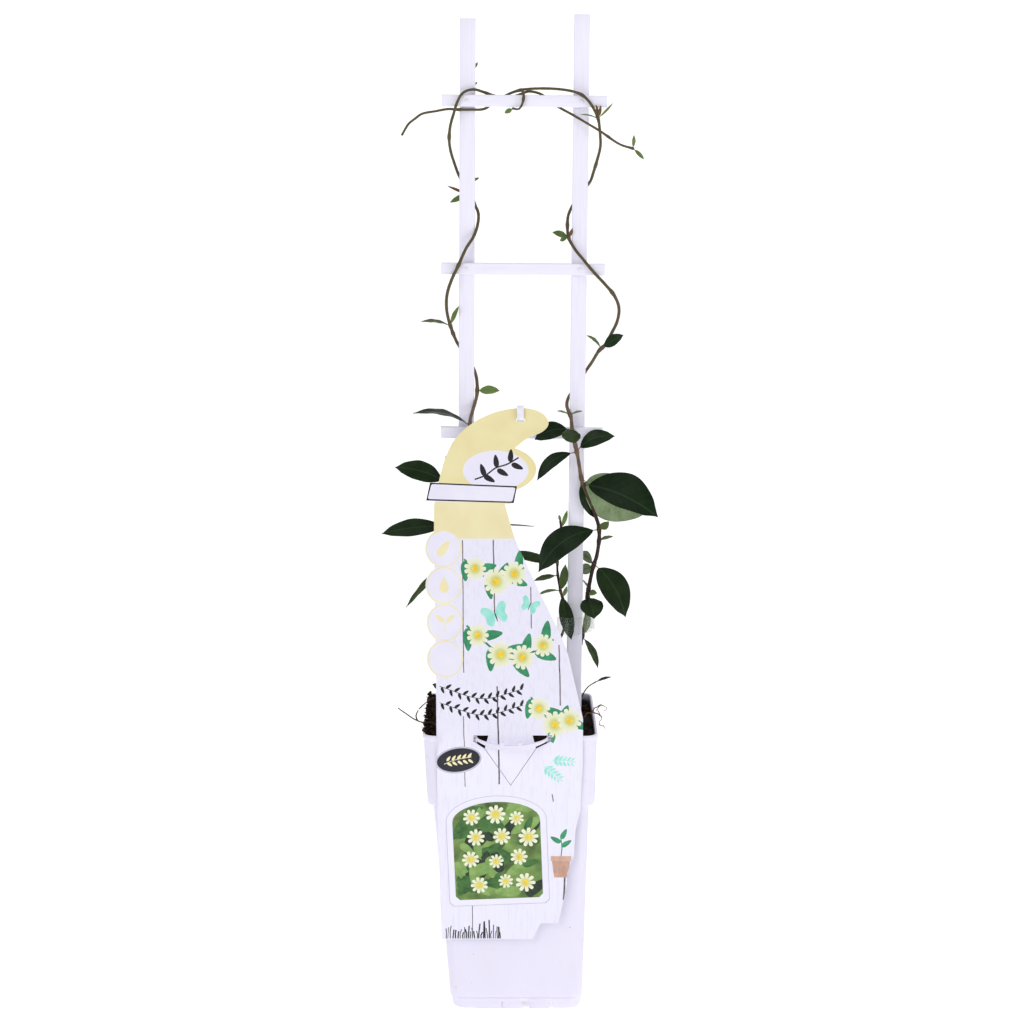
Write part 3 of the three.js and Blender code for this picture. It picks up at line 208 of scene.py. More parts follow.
VINE_RIGHT_LEAVES = [
    Leaf((45, -10.8, 443.5), (17, -11.2, 436.5), 13.2, (0, -1, 0.3), 0, sweep=-0.14),
    Leaf((47.9, -10.6, 432), (41.5, -28, 447), 14, (0, -0.75, -1), -0.06, youth=0.12),
    Leaf((49.8, -10.6, 428), (77.3, -17, 440), 13, (0.2, -1, 0.7), 0.1, sweep=0.1),
    Leaf((49.4, -10.8, 427), (19, -15, 406), 10, (-0.3, -1, 0.4), 0.1, sweep=-0.12),
    Leaf((54, -8, 401.5), (109.1, -34, 381.2), 28.5, (0.2, -1, 0.45), 0.1, sweep=0.1, rib=-0.26),
    Leaf(
        (51.9, -8.3, 407), (107.3, -6, 382), 35, (-0.15, 1, -0.1), 0.04,
        sweep=0.07, skew=0.8, youth=0.8,
    ),
    # this dark leaf stands in for the shaded left part of the pale leaf before it: painted shade
    Leaf((52.4, -8.4, 408), (63.5, -3.4, 375), 15, (0.45, -1, 0.1), 0, skew=0.8),
    Leaf((65.8, -6, 367), (20, -27, 338), 22.5, (-0.3, -1, 0.6), 0.1, sweep=-0.11, skew=0.95),
    Leaf((63, -4, 339.5), (86.3, -19, 301.7), 22, (0.3, -1, 0.1), 0.08, sweep=0.07, skew=0.85),
    Leaf((58.2, 0, 313.5), (62.4, -20, 300.5), 18, (0.05, -0.9, 1), 0.16, skew=1.15),
    Leaf((54, 7.4, 281), (66.2, -2, 257.8), 9, (0.8, -0.6, 0.3), 0.08, youth=0.12),
    Leaf((65.2, -5.6, 358), (77.2, -2, 361), 6, (0, -0.2, 1)),
    Leaf((66.1, -6, 367.4), (73.5, -11, 374), 6.5, (0.4, -1, 0.2), 0.1),
    Leaf((62.5, -4, 338.5), (50.5, 9, 344.5), 9, (0.7, 0.7, 0.1), 0.04, sweep=0.15, youth=0.5),
    Leaf((62.3, -4, 337.8), (50.5, 9, 331.5), 8.5, (0.7, 0.7, 0.1), 0.04, youth=0.5),
    Leaf((58, 2.6, 304), (57, 6.4, 283.6), 6.2, (0.3, -1, 0), 0.03),
    Leaf((58.6, -2, 317), (65, -8, 317.8), 5, (0, -1, 0.5)),
    Leaf((51.2, 8.2, 275), (40.2, 7.5, 263), 6, (-0.2, 1, 0.3), 0.08),
    Leaf((44.1, -9, 456), (33.8, -14, 458.7), 3.6, (0, -0.5, 1)),
    Leaf((44.2, -9, 456), (53, -12.5, 458.4), 3.6, (0, -0.5, 1)),
    Leaf((67.5, 0.5, 505.5), (83.4, -10, 515.4), 9, (-0.2, -1, 0.4), 0.08),
    Leaf((67, 0.7, 504.4), (56, -3, 514.5), 5, (0.6, -0.6, 1), 0.1),
    Leaf((42.2, -2.5, 587.5), (30, -8, 591.5), 5.5, (0, -1, 0.6), 0.08),
    Leaf((42.1, -2, 588), (36, 3, 585), 4, (0, -1, 0.4)),
    Leaf((42.2, -2.5, 587.5), (44.8, -7.5, 594.5), 3, (0.4, -1, 0), youth=WITHERED),
    Leaf((63.6, -7, 675), (50.5, -12.8, 677.5), 2.2, (0, -0.6, 1), 0.06),
    Leaf((63.5, -7.4, 675.2), (61.8, -10.6, 684.6), 2.4, (0.4, -1, 0), youth=WITHERED),
    Leaf((63.6, -7, 674.8), (65.2, -10.6, 684.2), 2.6, (0.4, -1, 0), youth=WITHERED),
    Leaf((63.6, -7, 675), (74.2, -13, 685.9), 1.8, (0.4, -1, 0), 0.04),
    Leaf((1, -9.1, 682), (-5.5, -10.5, 678.5), 3.6, (0.2, -1, 0.4)),
    Leaf((50.4, 8, 235), (30, 34, 248), 15, (0.2, 0.3, 1), 0.15),
    Leaf((50.4, 8, 235), (44, 40, 240), 12, (0.2, 0.2, 1), 0.15),
    Leaf((58.8, -2.4, 320), (53.6, 9.6, 325.5), 4.4, (0.2, 0.6, 1)),
]
SHOOT_LEFT_LEAVES = [
    Leaf((-49.3, -14.6, 404), (-88, -18, 416.5), 15.6, (-0.1, -1, 0.5), 0.1, sweep=-0.045),
    Leaf((-49.3, -14.6, 404), (-19, -19.5, 398), 13, (0.1, -1, 0.2), 0.06),
    Leaf((-49.1, -16.9, 371), (-98.2, -24, 366.8), 14.5, (0.05, -1, 0.75), 0.05, sweep=-0.02),
    Leaf((-49, -17, 371), (16.6, -21, 372), 8, (0, 0, 1), 0.02),
    Leaf((-48, -18.6, 345), (-80.1, -27, 310.8), 7.5, (-0.8, -0.7, 0.9), 0.03),
    Leaf((-47.8, -18.8, 344), (-24, -32, 322), 12, (0.1, -1, 0.3), 0.08),
    Leaf((-42, -24, 290), (-20, -42, 282), 13, (0.1, -0.8, 0.6), 0.1),
    Leaf((-41.5, -24.4, 286), (-52, 2, 292), 13, (-0.4, 0.2, 1), 0.12),
    Leaf((-37.5, -27, 242), (-61, -16, 248.5), 8, (0, -1, 0.4), 0.1),
    Leaf((-47.2, -14.5, 417), (-42, -15.5, 430), 5, (0.2, -1, 0)),
    Leaf((-47.2, -14.5, 417), (-50, -13.4, 424.5), 3, (0.1, -1, 0)),
]
SHOOT_RIGHT_LEAVES = [
    Leaf((34.6, -9.9, 341.5), (-3.1, -3, 349), 7.6, (-0.2, -1, 0.5), 0.04),
    Leaf((34.9, -9.8, 332.5), (16.8, -15, 329), 7, (0, -0.4, 1), 0.03),
    Leaf((37, -9, 320), (19.5, -12, 317), 5, (0, -0.25, 1), 0.1),
    Leaf((37.6, -9, 319), (40.6, -11.5, 341), 7, (0.3, -1, 0.1)),
    Leaf((37.4, -8.8, 319.5), (45.4, -11.8, 282.4), 11, (0.1, -1, 0.05), 0.03),
    Leaf((37.3, -6.8, 368), (42, -6.4, 382), 3.6, (0.3, -1, 0), youth=0.9),
    Leaf((36.7, -6, 373), (35.6, -6.6, 378.5), 2.2, (0.3, -1, 0)),
    Leaf((25, -17, 240), (2, -34, 246), 15, (-0.1, -0.5, 1), 0.12),
    Leaf((25, -17, 240), (16, 12, 250), 15, (0.1, 0.3, 1), 0.12),
    Leaf((31, -14, 265), (10, -30, 274), 14, (-0.1, -0.6, 1), 0.12),
    Leaf((38.8, -8.4, 314.5), (41.8, -9.6, 323.6), 3.2, (0.3, -1, 0.1)),
]
SPROUT_LEAVES = [Leaf((65, 8, 244.3), (76.9, 7, 248.4), 4, (0, -0.3, 1), youth=0)]

# ---- The tag, the tie and the tape ----

# Depth and height of the tag's middle surface, from its top down to its lower edge.
TAG_LINE = [
    (-7, 470), (-11.5, 452), (-14.2, 441), (-19.5, 420), (-30, 380), (-41, 340), (-51, 300),
    (-59, 265), (-63.6, 240), (-66.8, 219), (-65.6, 195), (-63.8, 167), (-61.8, 120), (-59.4, 50),
]
# Its outline, as seen from the front.
TAG_HOOK = [
    (-55, 406.3), (-50.3, 423), (-42.1, 438.6), (-27.8, 450.4), (-9.8, 458), (9.8, 460.1),
    (22.4, 456.7), (27.5, 449.4), (23.1, 443.1), (11.3, 437.9), (1.2, 430.3),
]
TAG_RIGHT_EDGE = [
    (-5.3, 390), (-1.5, 376.5), (2.3, 365), (8.6, 351), (20.9, 325.6), (38.8, 289.4), (46.2, 262.6),
    (52.9, 234),
]
TAG_FOOT = [
    (52.8, 200.4), (51.4, 163.2), (47.8, 148.2), (46.7, 127.6), (41.5, 113.3), (41.4, 104.5),
    (37.7, 85.3), (34.9, 73.2), (21.6, 73.2), (15.7, 60.4), (-53.4, 60.4),
]
TAG_LEFT_EDGE = [
    (-54.3, 86.9), (-55.9, 162.4), (-56.6, 262.6), (-58.4, 371.3), (-58.5, 388.7),
]
TAG_PLAQUE = [(-61.5, 405.7), (-64.3, 392.7), (1.3, 390.8), (3.8, 403.1)]
TAG_OVAL_CENTRE = (-10.5, 415.5)
TAG_OVAL_SIZE = (28.8, 17)
TAG_DISC_RADIUS = 13.9
TAG_DISC_PLACES = [(-51.1, 357.9), (-50.7, 331.3), (-49.9, 304.3), (-49.6, 278)]
TAG_OPENING = [
    (-28.8, 222), (-28.8, 217.4), (-20.6, 212), (-0.9, 182.8), (18.2, 212), (28.8, 217.4), (29.8, 222),
    (15.3, 222), (17.8, 212.2), (-0.9, 183.5), (-20.2, 212.2), (-17.6, 222),
]
TIE_X = 6.3
TIE_WIDTH = 5
TIE_THICKNESS = 0.7
TIE_SLOT = (6.2, 450.6, 452.6)  # width, bottom and top
TIE_LOOP = [
    (-10.5, 450.6), (-10, 447.5), (-10, 442.5), (-9.5, 436.6), (-6.3, 435.8), (-3.2, 436.6),
    (-2.8, 442.5), (-3.1, 448), (-5.4, 454.5), (-8.1, 460.6), (-10.2, 462), (-11.7, 459.5),
    (-12.5, 456), (-13, 452.6), (-11.6, 451.6),
]
TAPE_LOOP = [
    (34.4, -12.4), (42, -15.6), (50.8, -14.4), (57, -7), (62.4, 0), (64, 4.6), (62.4, 8.4),
    (56, 9), (50, 5.6), (43.4, 5), (40.6, 1.5), (37, -5),
]
TAPE_BOTTOM = 286.5
TAPE_HEIGHT = 14
TAPE_THICKNESS = 0.2

# ---- Lines and curves ----


def spline(points, closed=False, per_span=12):
    """Points along the centripetal Catmull-Rom curve through the given ones."""
    knots = [Vector(point) for point in points]
    count = len(knots)
    line = []
    for i in range(count if closed else count - 1):
        start, end = knots[i], knots[(i + 1) % count]
        before = knots[i - 1] if closed or i > 0 else 2 * start - end
        after = knots[(i + 2) % count] if closed or i + 2 < count else 2 * end - start
        lengths = [(b - a).length for a, b in ((before, start), (start, end), (end, after))]
        gap_in, gap, gap_out = [max(length ** 0.5, 1e-4) for length in lengths]
        leave = (start - before) / gap_in - (end - before) / (gap_in + gap) + (end - start) / gap
        arrive = (end - start) / gap - (after - start) / (gap + gap_out) + (after - end) / gap_out
        line += span_points(start, end, leave * gap, arrive * gap, per_span)
    return line if closed else [*line, knots[-1]]


def span_points(start, end, leave, arrive, count):
    return [hermite(start, end, leave, arrive, k / count) for k in range(count)]


def hermite(start, end, leave, arrive, t):
    square, cube = t * t, t * t * t
    return (
        start * (2 * cube - 3 * square + 1)
        + leave * (cube - 2 * square + t)
        + end * (3 * square - 2 * cube)
        + arrive * (cube - square)
    )


def plain_spline(points, per_span=8):
    """Flat points along the even Catmull-Rom curve that three.js draws through outline points."""
    knots = [Vector(point) for point in points]
    last = len(knots) - 1
    line = []
    for i in range(last):
        start, end = knots[i], knots[i + 1]
        leave = (end - knots[max(i - 1, 0)]) / 2
        arrive = (knots[min(i + 2, last)] - start) / 2
        line += span_points(start, end, leave, arrive, per_span)
    return [tuple(point) for point in [*line, knots[last]]]


def evenly(line, step):
    """The same line with its points about a step apart."""
    travelled = [0]
    for a, b in zip(line, line[1:]):
        travelled.append(travelled[-1] + (b - a).length)
    count = max(2, round(travelled[-1] / step))
    result = []
    k = 0
    for i in range(count + 1):
        goal = travelled[-1] * i / count
        while k + 2 < len(line) and travelled[k + 1] < goal:
            k += 1
        share = (goal - travelled[k]) / max(travelled[k + 1] - travelled[k], 1e-9)
        result.append(line[k].lerp(line[k + 1], min(share, 1)))
    return result


def tangents(line):
    last = len(line) - 1
    return [(line[min(i + 1, last)] - line[max(i - 1, 0)]).normalized() for i in range(last + 1)]


def smoothstep(value, low, high):
    t = min(max((value - low) / (high - low), 0), 1)
    return t * t * (3 - 2 * t)


def lerp(a, b, t):
    return a + (b - a) * t


# ---- Meshes ----


class Shape:
    """A mesh in the making, with what its materials read: a place (UV) and a tone for each point."""

    def __init__(self):
        self.points = []
        self.faces = []
        self.looks = []
        self.places = []
        self.tones = []

    def add(self, points, faces, look=0, places=None, tone=0.5):
        base = len(self.points)
        self.points += points
        self.faces += [[base + i for i in face] for face in faces]
        self.looks += look if isinstance(look, list) else [look] * len(faces)
        self.places += places or [(0, 0)] * len(points)
        self.tones += [tone] * len(points)

    def mesh(self, name, sharp_angle):
        mesh = bpy.data.meshes.new(name)
        mesh.from_pydata([point * MM for point in self.points], [], self.faces)
        mesh.polygons.foreach_set("material_index", self.looks)
        corners = [0] * len(mesh.loops)
        mesh.loops.foreach_get("vertex_index", corners)
        layer = mesh.uv_layers.new(name="place")
        layer.data.foreach_set("uv", [part for i in corners for part in self.places[i]])
        mesh.attributes.new("tone", "FLOAT", "POINT").data.foreach_set("value", self.tones)
        shade_smooth(mesh, sharp_angle)
        return mesh


def shade_smooth(mesh, sharp_angle):
    mesh.polygons.foreach_set("use_smooth", [True] * len(mesh.polygons))
    mesh.set_sharp_from_angle(angle=math.radians(sharp_angle))


def link_object(name, data):
    obj = bpy.data.objects.new(name, data)
    bpy.context.collection.objects.link(obj)
    return obj


def make_object(name, shape, sharp_angle=45):
    return link_object(name, shape.mesh(name, sharp_angle))


def finish_piece(obj, node, materials):
    """The piece gets its materials, rides on the body and stands for the CAD node."""
    for material in materials:
        obj.data.materials.append(material)
    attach(obj, BODY)
    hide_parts(node)


def add_piece(node, shape, materials, sharp_angle=45):
    """A finer piece in the CAD node's place, with its name."""
    finish_piece(make_object(node, shape, sharp_angle), node, materials)


def combine(base, steps):
    """Cuts and joins: each step is an operation and an object, which is used up."""
    for operation, tool in steps:
        modifier = base.modifiers.new(operation.lower(), "BOOLEAN")
        modifier.operation = operation
        modifier.solver = "EXACT"
        modifier.object = tool
    mesh = bpy.data.meshes.new_from_object(base.evaluated_get(bpy.context.evaluated_depsgraph_get()))
    base.modifiers.clear()
    base.data = mesh
    for _, tool in steps:
        bpy.data.objects.remove(tool)
    return base


def ring_faces(rings, count, closed=False):
    """The squares between rings of points, each ring counter-clockwise seen from the way they run."""
    faces = []
    for i in range(rings if closed else rings - 1):
        here, there = i * count, (i + 1) % rings * count
        for j in range(count):
            k = (j + 1) % count
            faces.append([here + j, here + k, there + k, there + j])
    return faces


def loft(shape, rings, closed=False, look=0, tone=0.5):
    """A skin over rings of points: closed on itself, or with its two end rings filled."""
    count = len(rings[0])
    points = [point for ring in rings for point in ring]
    faces = ring_faces(len(rings), count, closed)
    if not closed:
        last = len(points) - count
        faces.append([count - 1 - j for j in range(count)])
        faces.append([last + j for j in range(count)])
    shape.add(points, faces, look, tone=tone)
    return shape


def tube(shape, line, radius_at, sides, look=0, tone=0.5):
    """A round tube with blunt ends along a line; its radius depends on the point's number and place."""
    end_width, end_reach = 0.6, 0.5
    forward = tangents(line)
    normal = forward[0].orthogonal().normalized()
    rings = []
    for i, point in enumerate(line):
        normal = (normal - forward[i] * normal.dot(forward[i])).normalized()
        binormal = forward[i].cross(normal)
        radius = radius_at(i, point)
        if i == 0:
            heel = point - forward[0] * radius * end_reach
            rings.append(round_ring(heel, normal, binormal, radius * end_width, sides))
        rings.append(round_ring(point, normal, binormal, radius, sides))
    tip = line[-1] + forward[-1] * radius * end_reach
    rings.append(round_ring(tip, normal, binormal, radius * end_width, sides))
    return loft(shape, rings, look=look, tone=tone)


def round_ring(centre, normal, binormal, radius, sides):
    angles = [2 * math.pi * j / sides for j in range(sides)]
    return [centre + (normal * math.cos(a) + binormal * math.sin(a)) * radius for a in angles]


def rounded_box(size, centre, radius, segments=2):
    """A box with rounded edges, as an object that can be joined or cut."""
    mesh = bmesh.new()
    bmesh.ops.create_cube(mesh, size=1)
    bmesh.ops.scale(mesh, vec=Vector(size), verts=mesh.verts)
    bmesh.ops.bevel(
        mesh, geom=mesh.edges[:], offset=radius, segments=segments, profile=0.5, affect="EDGES"
    )
    bmesh.ops.translate(mesh, vec=Vector(centre), verts=mesh.verts)
    bmesh.ops.scale(mesh, vec=Vector((MM, MM, MM)), verts=mesh.verts)
    data = bpy.data.meshes.new("box")
    mesh.to_mesh(data)
    mesh.free()
    return link_object("box", data)


# ---- Materials ----

FILM_ROUGHNESS, FILM_SPECULAR = 0.38, 0.35


class Finish:
    """A node material round one Principled shader; textures are placed in millimetres."""

    def __init__(self, name, **sockets):
        self.material = bpy.data.materials.new(name)
        self.material.use_nodes = True
        self.tree = self.material.node_tree
        self.shader = self.tree.nodes["Principled BSDF"]
        self.sockets = {socket.name.lower().replace(" ", "_"): socket for socket in self.shader.inputs}
        self.use(**sockets)

    def node(self, kind, inputs=(), **settings):
        node = self.tree.nodes.new("ShaderNode" + kind)
        for name, value in settings.items():
            setattr(node, name, value)
        for key, value in dict(inputs).items():
            self.feed(node.inputs[key], value)
        return node

    def feed(self, socket, value):
        if isinstance(value, bpy.types.NodeSocket):
            self.tree.links.new(value, socket)
        else:
            socket.default_value = value

    def use(self, **sockets):
        for name, value in sockets.items():
            self.feed(self.sockets[name], value)
        return self.material

    def millimetres(self, stretch=(1, 1, 1)):
        source = self.node("TexCoord").outputs["Object"]
        scale = [1 / (MM * factor) for factor in stretch]
        return self.node("Mapping", {"Vector": source, "Scale": scale}).outputs[0]

    def place(self):
        parts = self.node("SeparateXYZ", {0: self.node("UVMap", uv_map="place").outputs[0]})
        return parts.outputs[0], parts.outputs[1]

    def position(self):
        """The place in millimetres: right, back and up from the middle of the foot."""
        return self.node("SeparateXYZ", {0: self.millimetres()}).outputs

    def tone(self):
        return self.node("Attribute", attribute_name="tone").outputs["Fac"]

    def noise(self, size, detail=3, roughness=0.5, stretch=(1, 1, 1)):
        inputs = {"Vector": self.millimetres(stretch), "Scale": 1 / size}
        inputs |= {"Detail": detail, "Roughness": roughness}
        return self.node("TexNoise", inputs).outputs[0]

    def cells(self, size, stretch=(1, 1, 1)):
        inputs = {"Vector": self.millimetres(stretch), "Scale": 1 / size}
        return self.node("TexVoronoi", inputs).outputs["Distance"]

    def calc(self, operation, *values):
        return self.node("Math", dict(enumerate(values)), operation=operation).outputs[0]

    def plus(self, first, second):
        return self.calc("ADD", first, second)

    def times(self, first, second):
        return self.calc("MULTIPLY", first, second)

    def between(self, value, low, high, to_low=0, to_high=1):
        inputs = {0: value, 1: low, 2: high, 3: to_low, 4: to_high}
        return self.node("MapRange", inputs, clamp=True).outputs[0]

    def ramp(self, value, stops):
        node = self.node("ValToRGB", {0: value})
        elements = node.color_ramp.elements
        while len(elements) < len(stops):
            elements.new(1)
        for element, (position, colour) in zip(elements, stops):
            element.position = position
            element.color = (*colour, 1)
        return node.outputs[0]

    def fade(self, value, dark, light):
        """From one colour to another over the range where noise mostly lies."""
        return self.ramp(value, [(0.3, dark), (0.7, light)])

    def mix(self, share, first, second):
        node = self.node("Mix", {0: share}, data_type="RGBA")
        for key, colour in ((6, first), (7, second)):
            is_socket = isinstance(colour, bpy.types.NodeSocket)
            self.feed(node.inputs[key], colour if is_socket else (*colour, 1))
        return node.outputs[2]

    def bump(self, height, distance, strength=1.0):
        inputs = {"Height": height, "Distance": distance * MM, "Strength": strength}
        return self.node("Bump", inputs).outputs[0]


def two_tone(
    name, size, detail, dark, light, relief=0.0, roughness=FILM_ROUGHNESS, specular=FILM_SPECULAR
):
    """Clouds between two colours, with a bump to match; by default it has a printed film's gloss."""
    finish = Finish(name, roughness=roughness, specular_ior_level=specular)
    pattern = finish.noise(size, detail)
    if relief:
        finish.use(normal=finish.bump(pattern, relief))
    return finish.use(base_color=finish.fade(pattern, dark, light))


def white_plastic():
    """Lavender-white moulded plastic with faint pinkish streaks of dirt, a few soil specks, and
    near-black painted shade inside the rim that also stands for soil stain.
    """
    finish = Finish("pot_plastic", roughness=0.42, specular_ior_level=0.35)
    streaks = finish.noise(26, 4, 0.6, stretch=(1, 1, 3))
    clean = finish.ramp(streaks, [(0.35, (0.83, 0.80, 0.93)), (0.75, (0.86, 0.83, 0.965))])
    stain = finish.between(finish.noise(14, 5, 0.7), 0.58, 0.8, 0, 0.45)
    stained = finish.mix(stain, clean, (0.78, 0.70, 0.72))
    speck = finish.between(finish.cells(9), 0.035, 0.05, 0.7, 0)
    rare = finish.between(finish.noise(30, 1), 0.5, 0.55)
    dotted = finish.mix(finish.times(speck, rare), stained, (0.25, 0.13, 0.10))
    # near-black painted shade, with some soil stain, down inside the pot's rim
    colour = finish.mix(inner_shade_and_stain(finish), dotted, (0.020, 0.014, 0.012))
    ripple = finish.bump(finish.noise(1.6, 3), 0.04, 0.6)
    return finish.use(base_color=colour, normal=ripple)


def inner_shade_and_stain(finish):
    """How dark the pot's inside is painted, as painted shade with some soil stain: only inside the rim,
    and less towards its edge.
    """
    x, y, z = finish.position()
    corner_radius = POT_RIM_WIDTH * POT_CORNER_SHARE
    straight = POT_RIM_WIDTH / 2 - corner_radius
    past = []
    for value in (finish.calc("SUBTRACT", x, SHIFT_AT_RIM), y):
        beyond = finish.calc("SUBTRACT", finish.calc("ABSOLUTE", value), straight)
        past.append(finish.calc("POWER", finish.calc("MAXIMUM", beyond, 0), 2))
    aside = finish.calc("SQRT", finish.plus(*past))
    inner_radius = corner_radius - POT_WALL
    inside = finish.between(aside, inner_radius - 0.2, inner_radius + 0.1, 1, 0)
    collar = finish.between(z, POT_HEIGHT - 18, POT_HEIGHT - 13)
    smeared = finish.calc("MULTIPLY_ADD", finish.noise(8, 4, 0.6), 5, z)
    fading = finish.between(smeared, POT_HEIGHT - 3, POT_HEIGHT + 3, 0.95, 0)
    return finish.times(finish.times(inside, collar), fading)


def painted_wood(name, stretch):
    """White paint over sawn wood; the grain barely shows, as fine lengthwise lines."""
    finish = Finish(name, roughness=0.6, specular_ior_level=0.3)
    grain = finish.noise(2.2, 4, 0.5, stretch)
    colour = finish.ramp(grain, [(0.3, (0.855, 0.835, 0.945)), (0.6, (0.895, 0.875, 0.985))])
    return finish.use(base_color=colour, normal=finish.bump(grain, 0.06, 0.6))


def nail_steel():
    """Steel under a thin coat of the ladder's paint."""
    finish = Finish("nail_steel", specular_ior_level=0.4)
    wear = finish.noise(0.8, 3)
    colour = finish.fade(wear, (0.78, 0.76, 0.86), (0.88, 0.86, 0.96))
    return finish.use(base_color=colour, roughness=finish.between(wear, 0.3, 0.7, 0.35, 0.55))


def soil_earth():
    """Peaty soil: nearly black crumbs with rusty bits."""
    finish = Finish("soil_earth", roughness=0.95, specular_ior_level=0.12)
    grain = finish.noise(1.4, 5, 0.7)
    dark = finish.fade(grain, (0.003, 0.0015, 0.001), (0.022, 0.011, 0.007))
    colour = finish.mix(finish.between(finish.tone(), 0.7, 1), dark, (0.09, 0.035, 0.018))
    return finish.use(base_color=colour, normal=finish.bump(grain, 0.8))


def stem_bark():
    """Dark red-brown low down, grey-brown in the middle and olive-brown on the long upper runs."""
    finish = Finish("stem_bark", roughness=0.6, specular_ior_level=0.3)
    age = finish.calc("DIVIDE", finish.position()[2], VINE_TOP)
    mottle = finish.calc("MULTIPLY_ADD", finish.noise(7, 3), 0.1, age)
    stops = [
        (0.5, (0.030, 0.013, 0.010)), (0.585, (0.040, 0.020, 0.014)), (0.64, (0.175, 0.12, 0.072)),
        (0.69, (0.155, 0.108, 0.062)), (0.74, (0.11, 0.080, 0.040)), (1.0, (0.10, 0.080, 0.030)),
    ]
    base = finish.ramp(mottle, stops)
    streak = finish.noise(1.1, 4, 0.6, stretch=(1, 1, 4))
    worn = finish.mix(finish.between(streak, 0.45, 0.7, 0, 0.4), base, (0.020, 0.010, 0.007))
    colour = finish.mix(finish.between(finish.tone(), 0.5, 1), worn, (0.20, 0.075, 0.035))
    return finish.use(base_color=colour, normal=finish.bump(streak, 0.2))


def leaf_pattern(finish):
    """How strongly a vein shows, from a leaf's place map: across from -0.5 to 0.5, along 0 to 1."""
    across, along = finish.place()
    aside = finish.calc("ABSOLUTE", across)
    midrib = finish.between(aside, 0.012, 0.035, 1, 0)
    climb = finish.times(finish.calc("POWER", aside, VEIN_BEND), VEIN_CLIMB)
    wander = finish.times(finish.noise(4, 2), 0.5)
    rows = finish.calc("SUBTRACT", finish.times(along, VEIN_PAIRS), climb)
    row = finish.calc("SUBTRACT", finish.calc("FRACT", finish.plus(rows, wander)), 0.5)
    lateral = finish.between(finish.calc("ABSOLUTE", row), 0.05, 0.13, 1, 0)
    net = finish.between(finish.cells(1.6), 0.35, 0.7, 0, 1)
    return midrib, lateral, net, aside


def veined(finish, cloud, old, young, *veins):
    """A blade's colour by its age, with veins over it: each a mask, a strength and a colour."""
    colour = finish.mix(finish.tone(), finish.fade(cloud, *old), finish.fade(cloud, *young))
    for mask, strength, tint in veins:
        colour = finish.mix(finish.times(mask, strength), colour, tint)
    return colour


def leaf_upper():
    """Glossy, almost black green, with a fine paler midrib and faint side veins."""
    finish = Finish("leaf_upper", specular_ior_level=0.14)
    midrib, lateral, net, aside = leaf_pattern(finish)
    old = (0.004, 0.012, 0.003), (0.008, 0.024, 0.006)
    young = (0.12, 0.20, 0.045), (0.23, 0.32, 0.095)
    side_veins = (lateral, 0.07, (0.035, 0.080, 0.035))
    rib = (midrib, 0.25, (0.060, 0.105, 0.045))
    blade_colour = veined(finish, finish.noise(11, 3), old, young, side_veins, rib)
    edge = finish.between(aside, 0.44, 0.5, 0, 0.5)
    colour = finish.mix(edge, blade_colour, (0.018, 0.014, 0.012))
    relief = finish.plus(finish.times(lateral, -0.5), finish.times(net, 0.3))
    relief = finish.calc("SUBTRACT", relief, midrib)
    gloss = finish.between(finish.noise(9, 3), 0.3, 0.7, 0.3, 0.42)
    return finish.use(base_color=colour, roughness=gloss, normal=finish.bump(relief, 0.09, 0.6))


def leaf_under():
    """Matt, pale and blotchy, with raised veins."""
    finish = Finish("leaf_under", roughness=0.6, specular_ior_level=0.25)
    midrib, lateral, net, _ = leaf_pattern(finish)
    old = (0.075, 0.125, 0.045), (0.15, 0.22, 0.09)
    young = (0.18, 0.26, 0.12), (0.32, 0.40, 0.24)
    side_veins = (lateral, 0.3, (0.22, 0.30, 0.13))
    rib = (midrib, 0.7, (0.27, 0.34, 0.15))
    colour = veined(finish, finish.noise(6, 4, 0.6), old, young, side_veins, rib)
    relief = finish.plus(finish.times(lateral, 0.6), finish.times(net, -0.2))
    return finish.use(base_color=colour, normal=finish.bump(relief, 0.15, 0.8))


def young_stalk():
    """Green stalks and buds that redden towards older wood."""
    finish = Finish("young_stalk", roughness=0.5, specular_ior_level=0.3)
    patches = finish.noise(3, 3)
    green = finish.fade(patches, (0.05, 0.075, 0.02), (0.12, 0.16, 0.04))
    colour = finish.mix(finish.tone(), (0.09, 0.04, 0.02), green)
    return finish.use(base_color=colour, normal=finish.bump(patches, 0.1))


def dry_wood():
    return two_tone("dry_wood", 1.5, 4, (0.035, 0.022, 0.016), (0.11, 0.07, 0.05), 0.2, 0.85, 0.2)


def root_fibre():
    return two_tone("root_fibre", 1.2, 4, (0.07, 0.025, 0.012), (0.28, 0.11, 0.05), 0.15, 0.8, 0.2)


def tie_plastic():
    return two_tone("tie_plastic", 3, 3, (0.86, 0.84, 0.94), (0.92, 0.90, 0.99), 0.05, 0.4, 0.4)


def clear_tape():
    """Clear film, a little grey where it is creased."""
    finish = Finish("clear_tape", roughness=0.1, specular_ior_level=0.5)
    crease = finish.noise(8, 2, 0.4, stretch=(1, 1, 5))
    colour = finish.ramp(crease, [(0.4, (0.22, 0.26, 0.22)), (0.6, (0.42, 0.46, 0.44))])
    milky = finish.between(crease, 0.4, 0.65, 0.06, 0.2)
    return finish.use(base_color=colour, alpha=milky, normal=finish.bump(crease, 0.1))


# ---- Stems and leaves ----

STEM_STEP = 1.6
STEM_SIDES = 10
BLADE_COLUMNS = [-1, -0.95, -0.8, -0.6, -0.4, -0.2, -0.07, 0.07, 0.2, 0.4, 0.6, 0.8, 0.95, 1]
BARK, UPPER, UNDER, STALK = range(4)


def taper(start, end):
    return lambda share: lerp(start, end, share)


def vine_taper(share):
    """A vine keeps its thickness at first and thins out towards its tip."""
    even = 0.35
    if share < even:
        return lerp(1.6, 1.35, share / even)
    return lerp(1.35, 0.85, (share - even) / (1 - even))


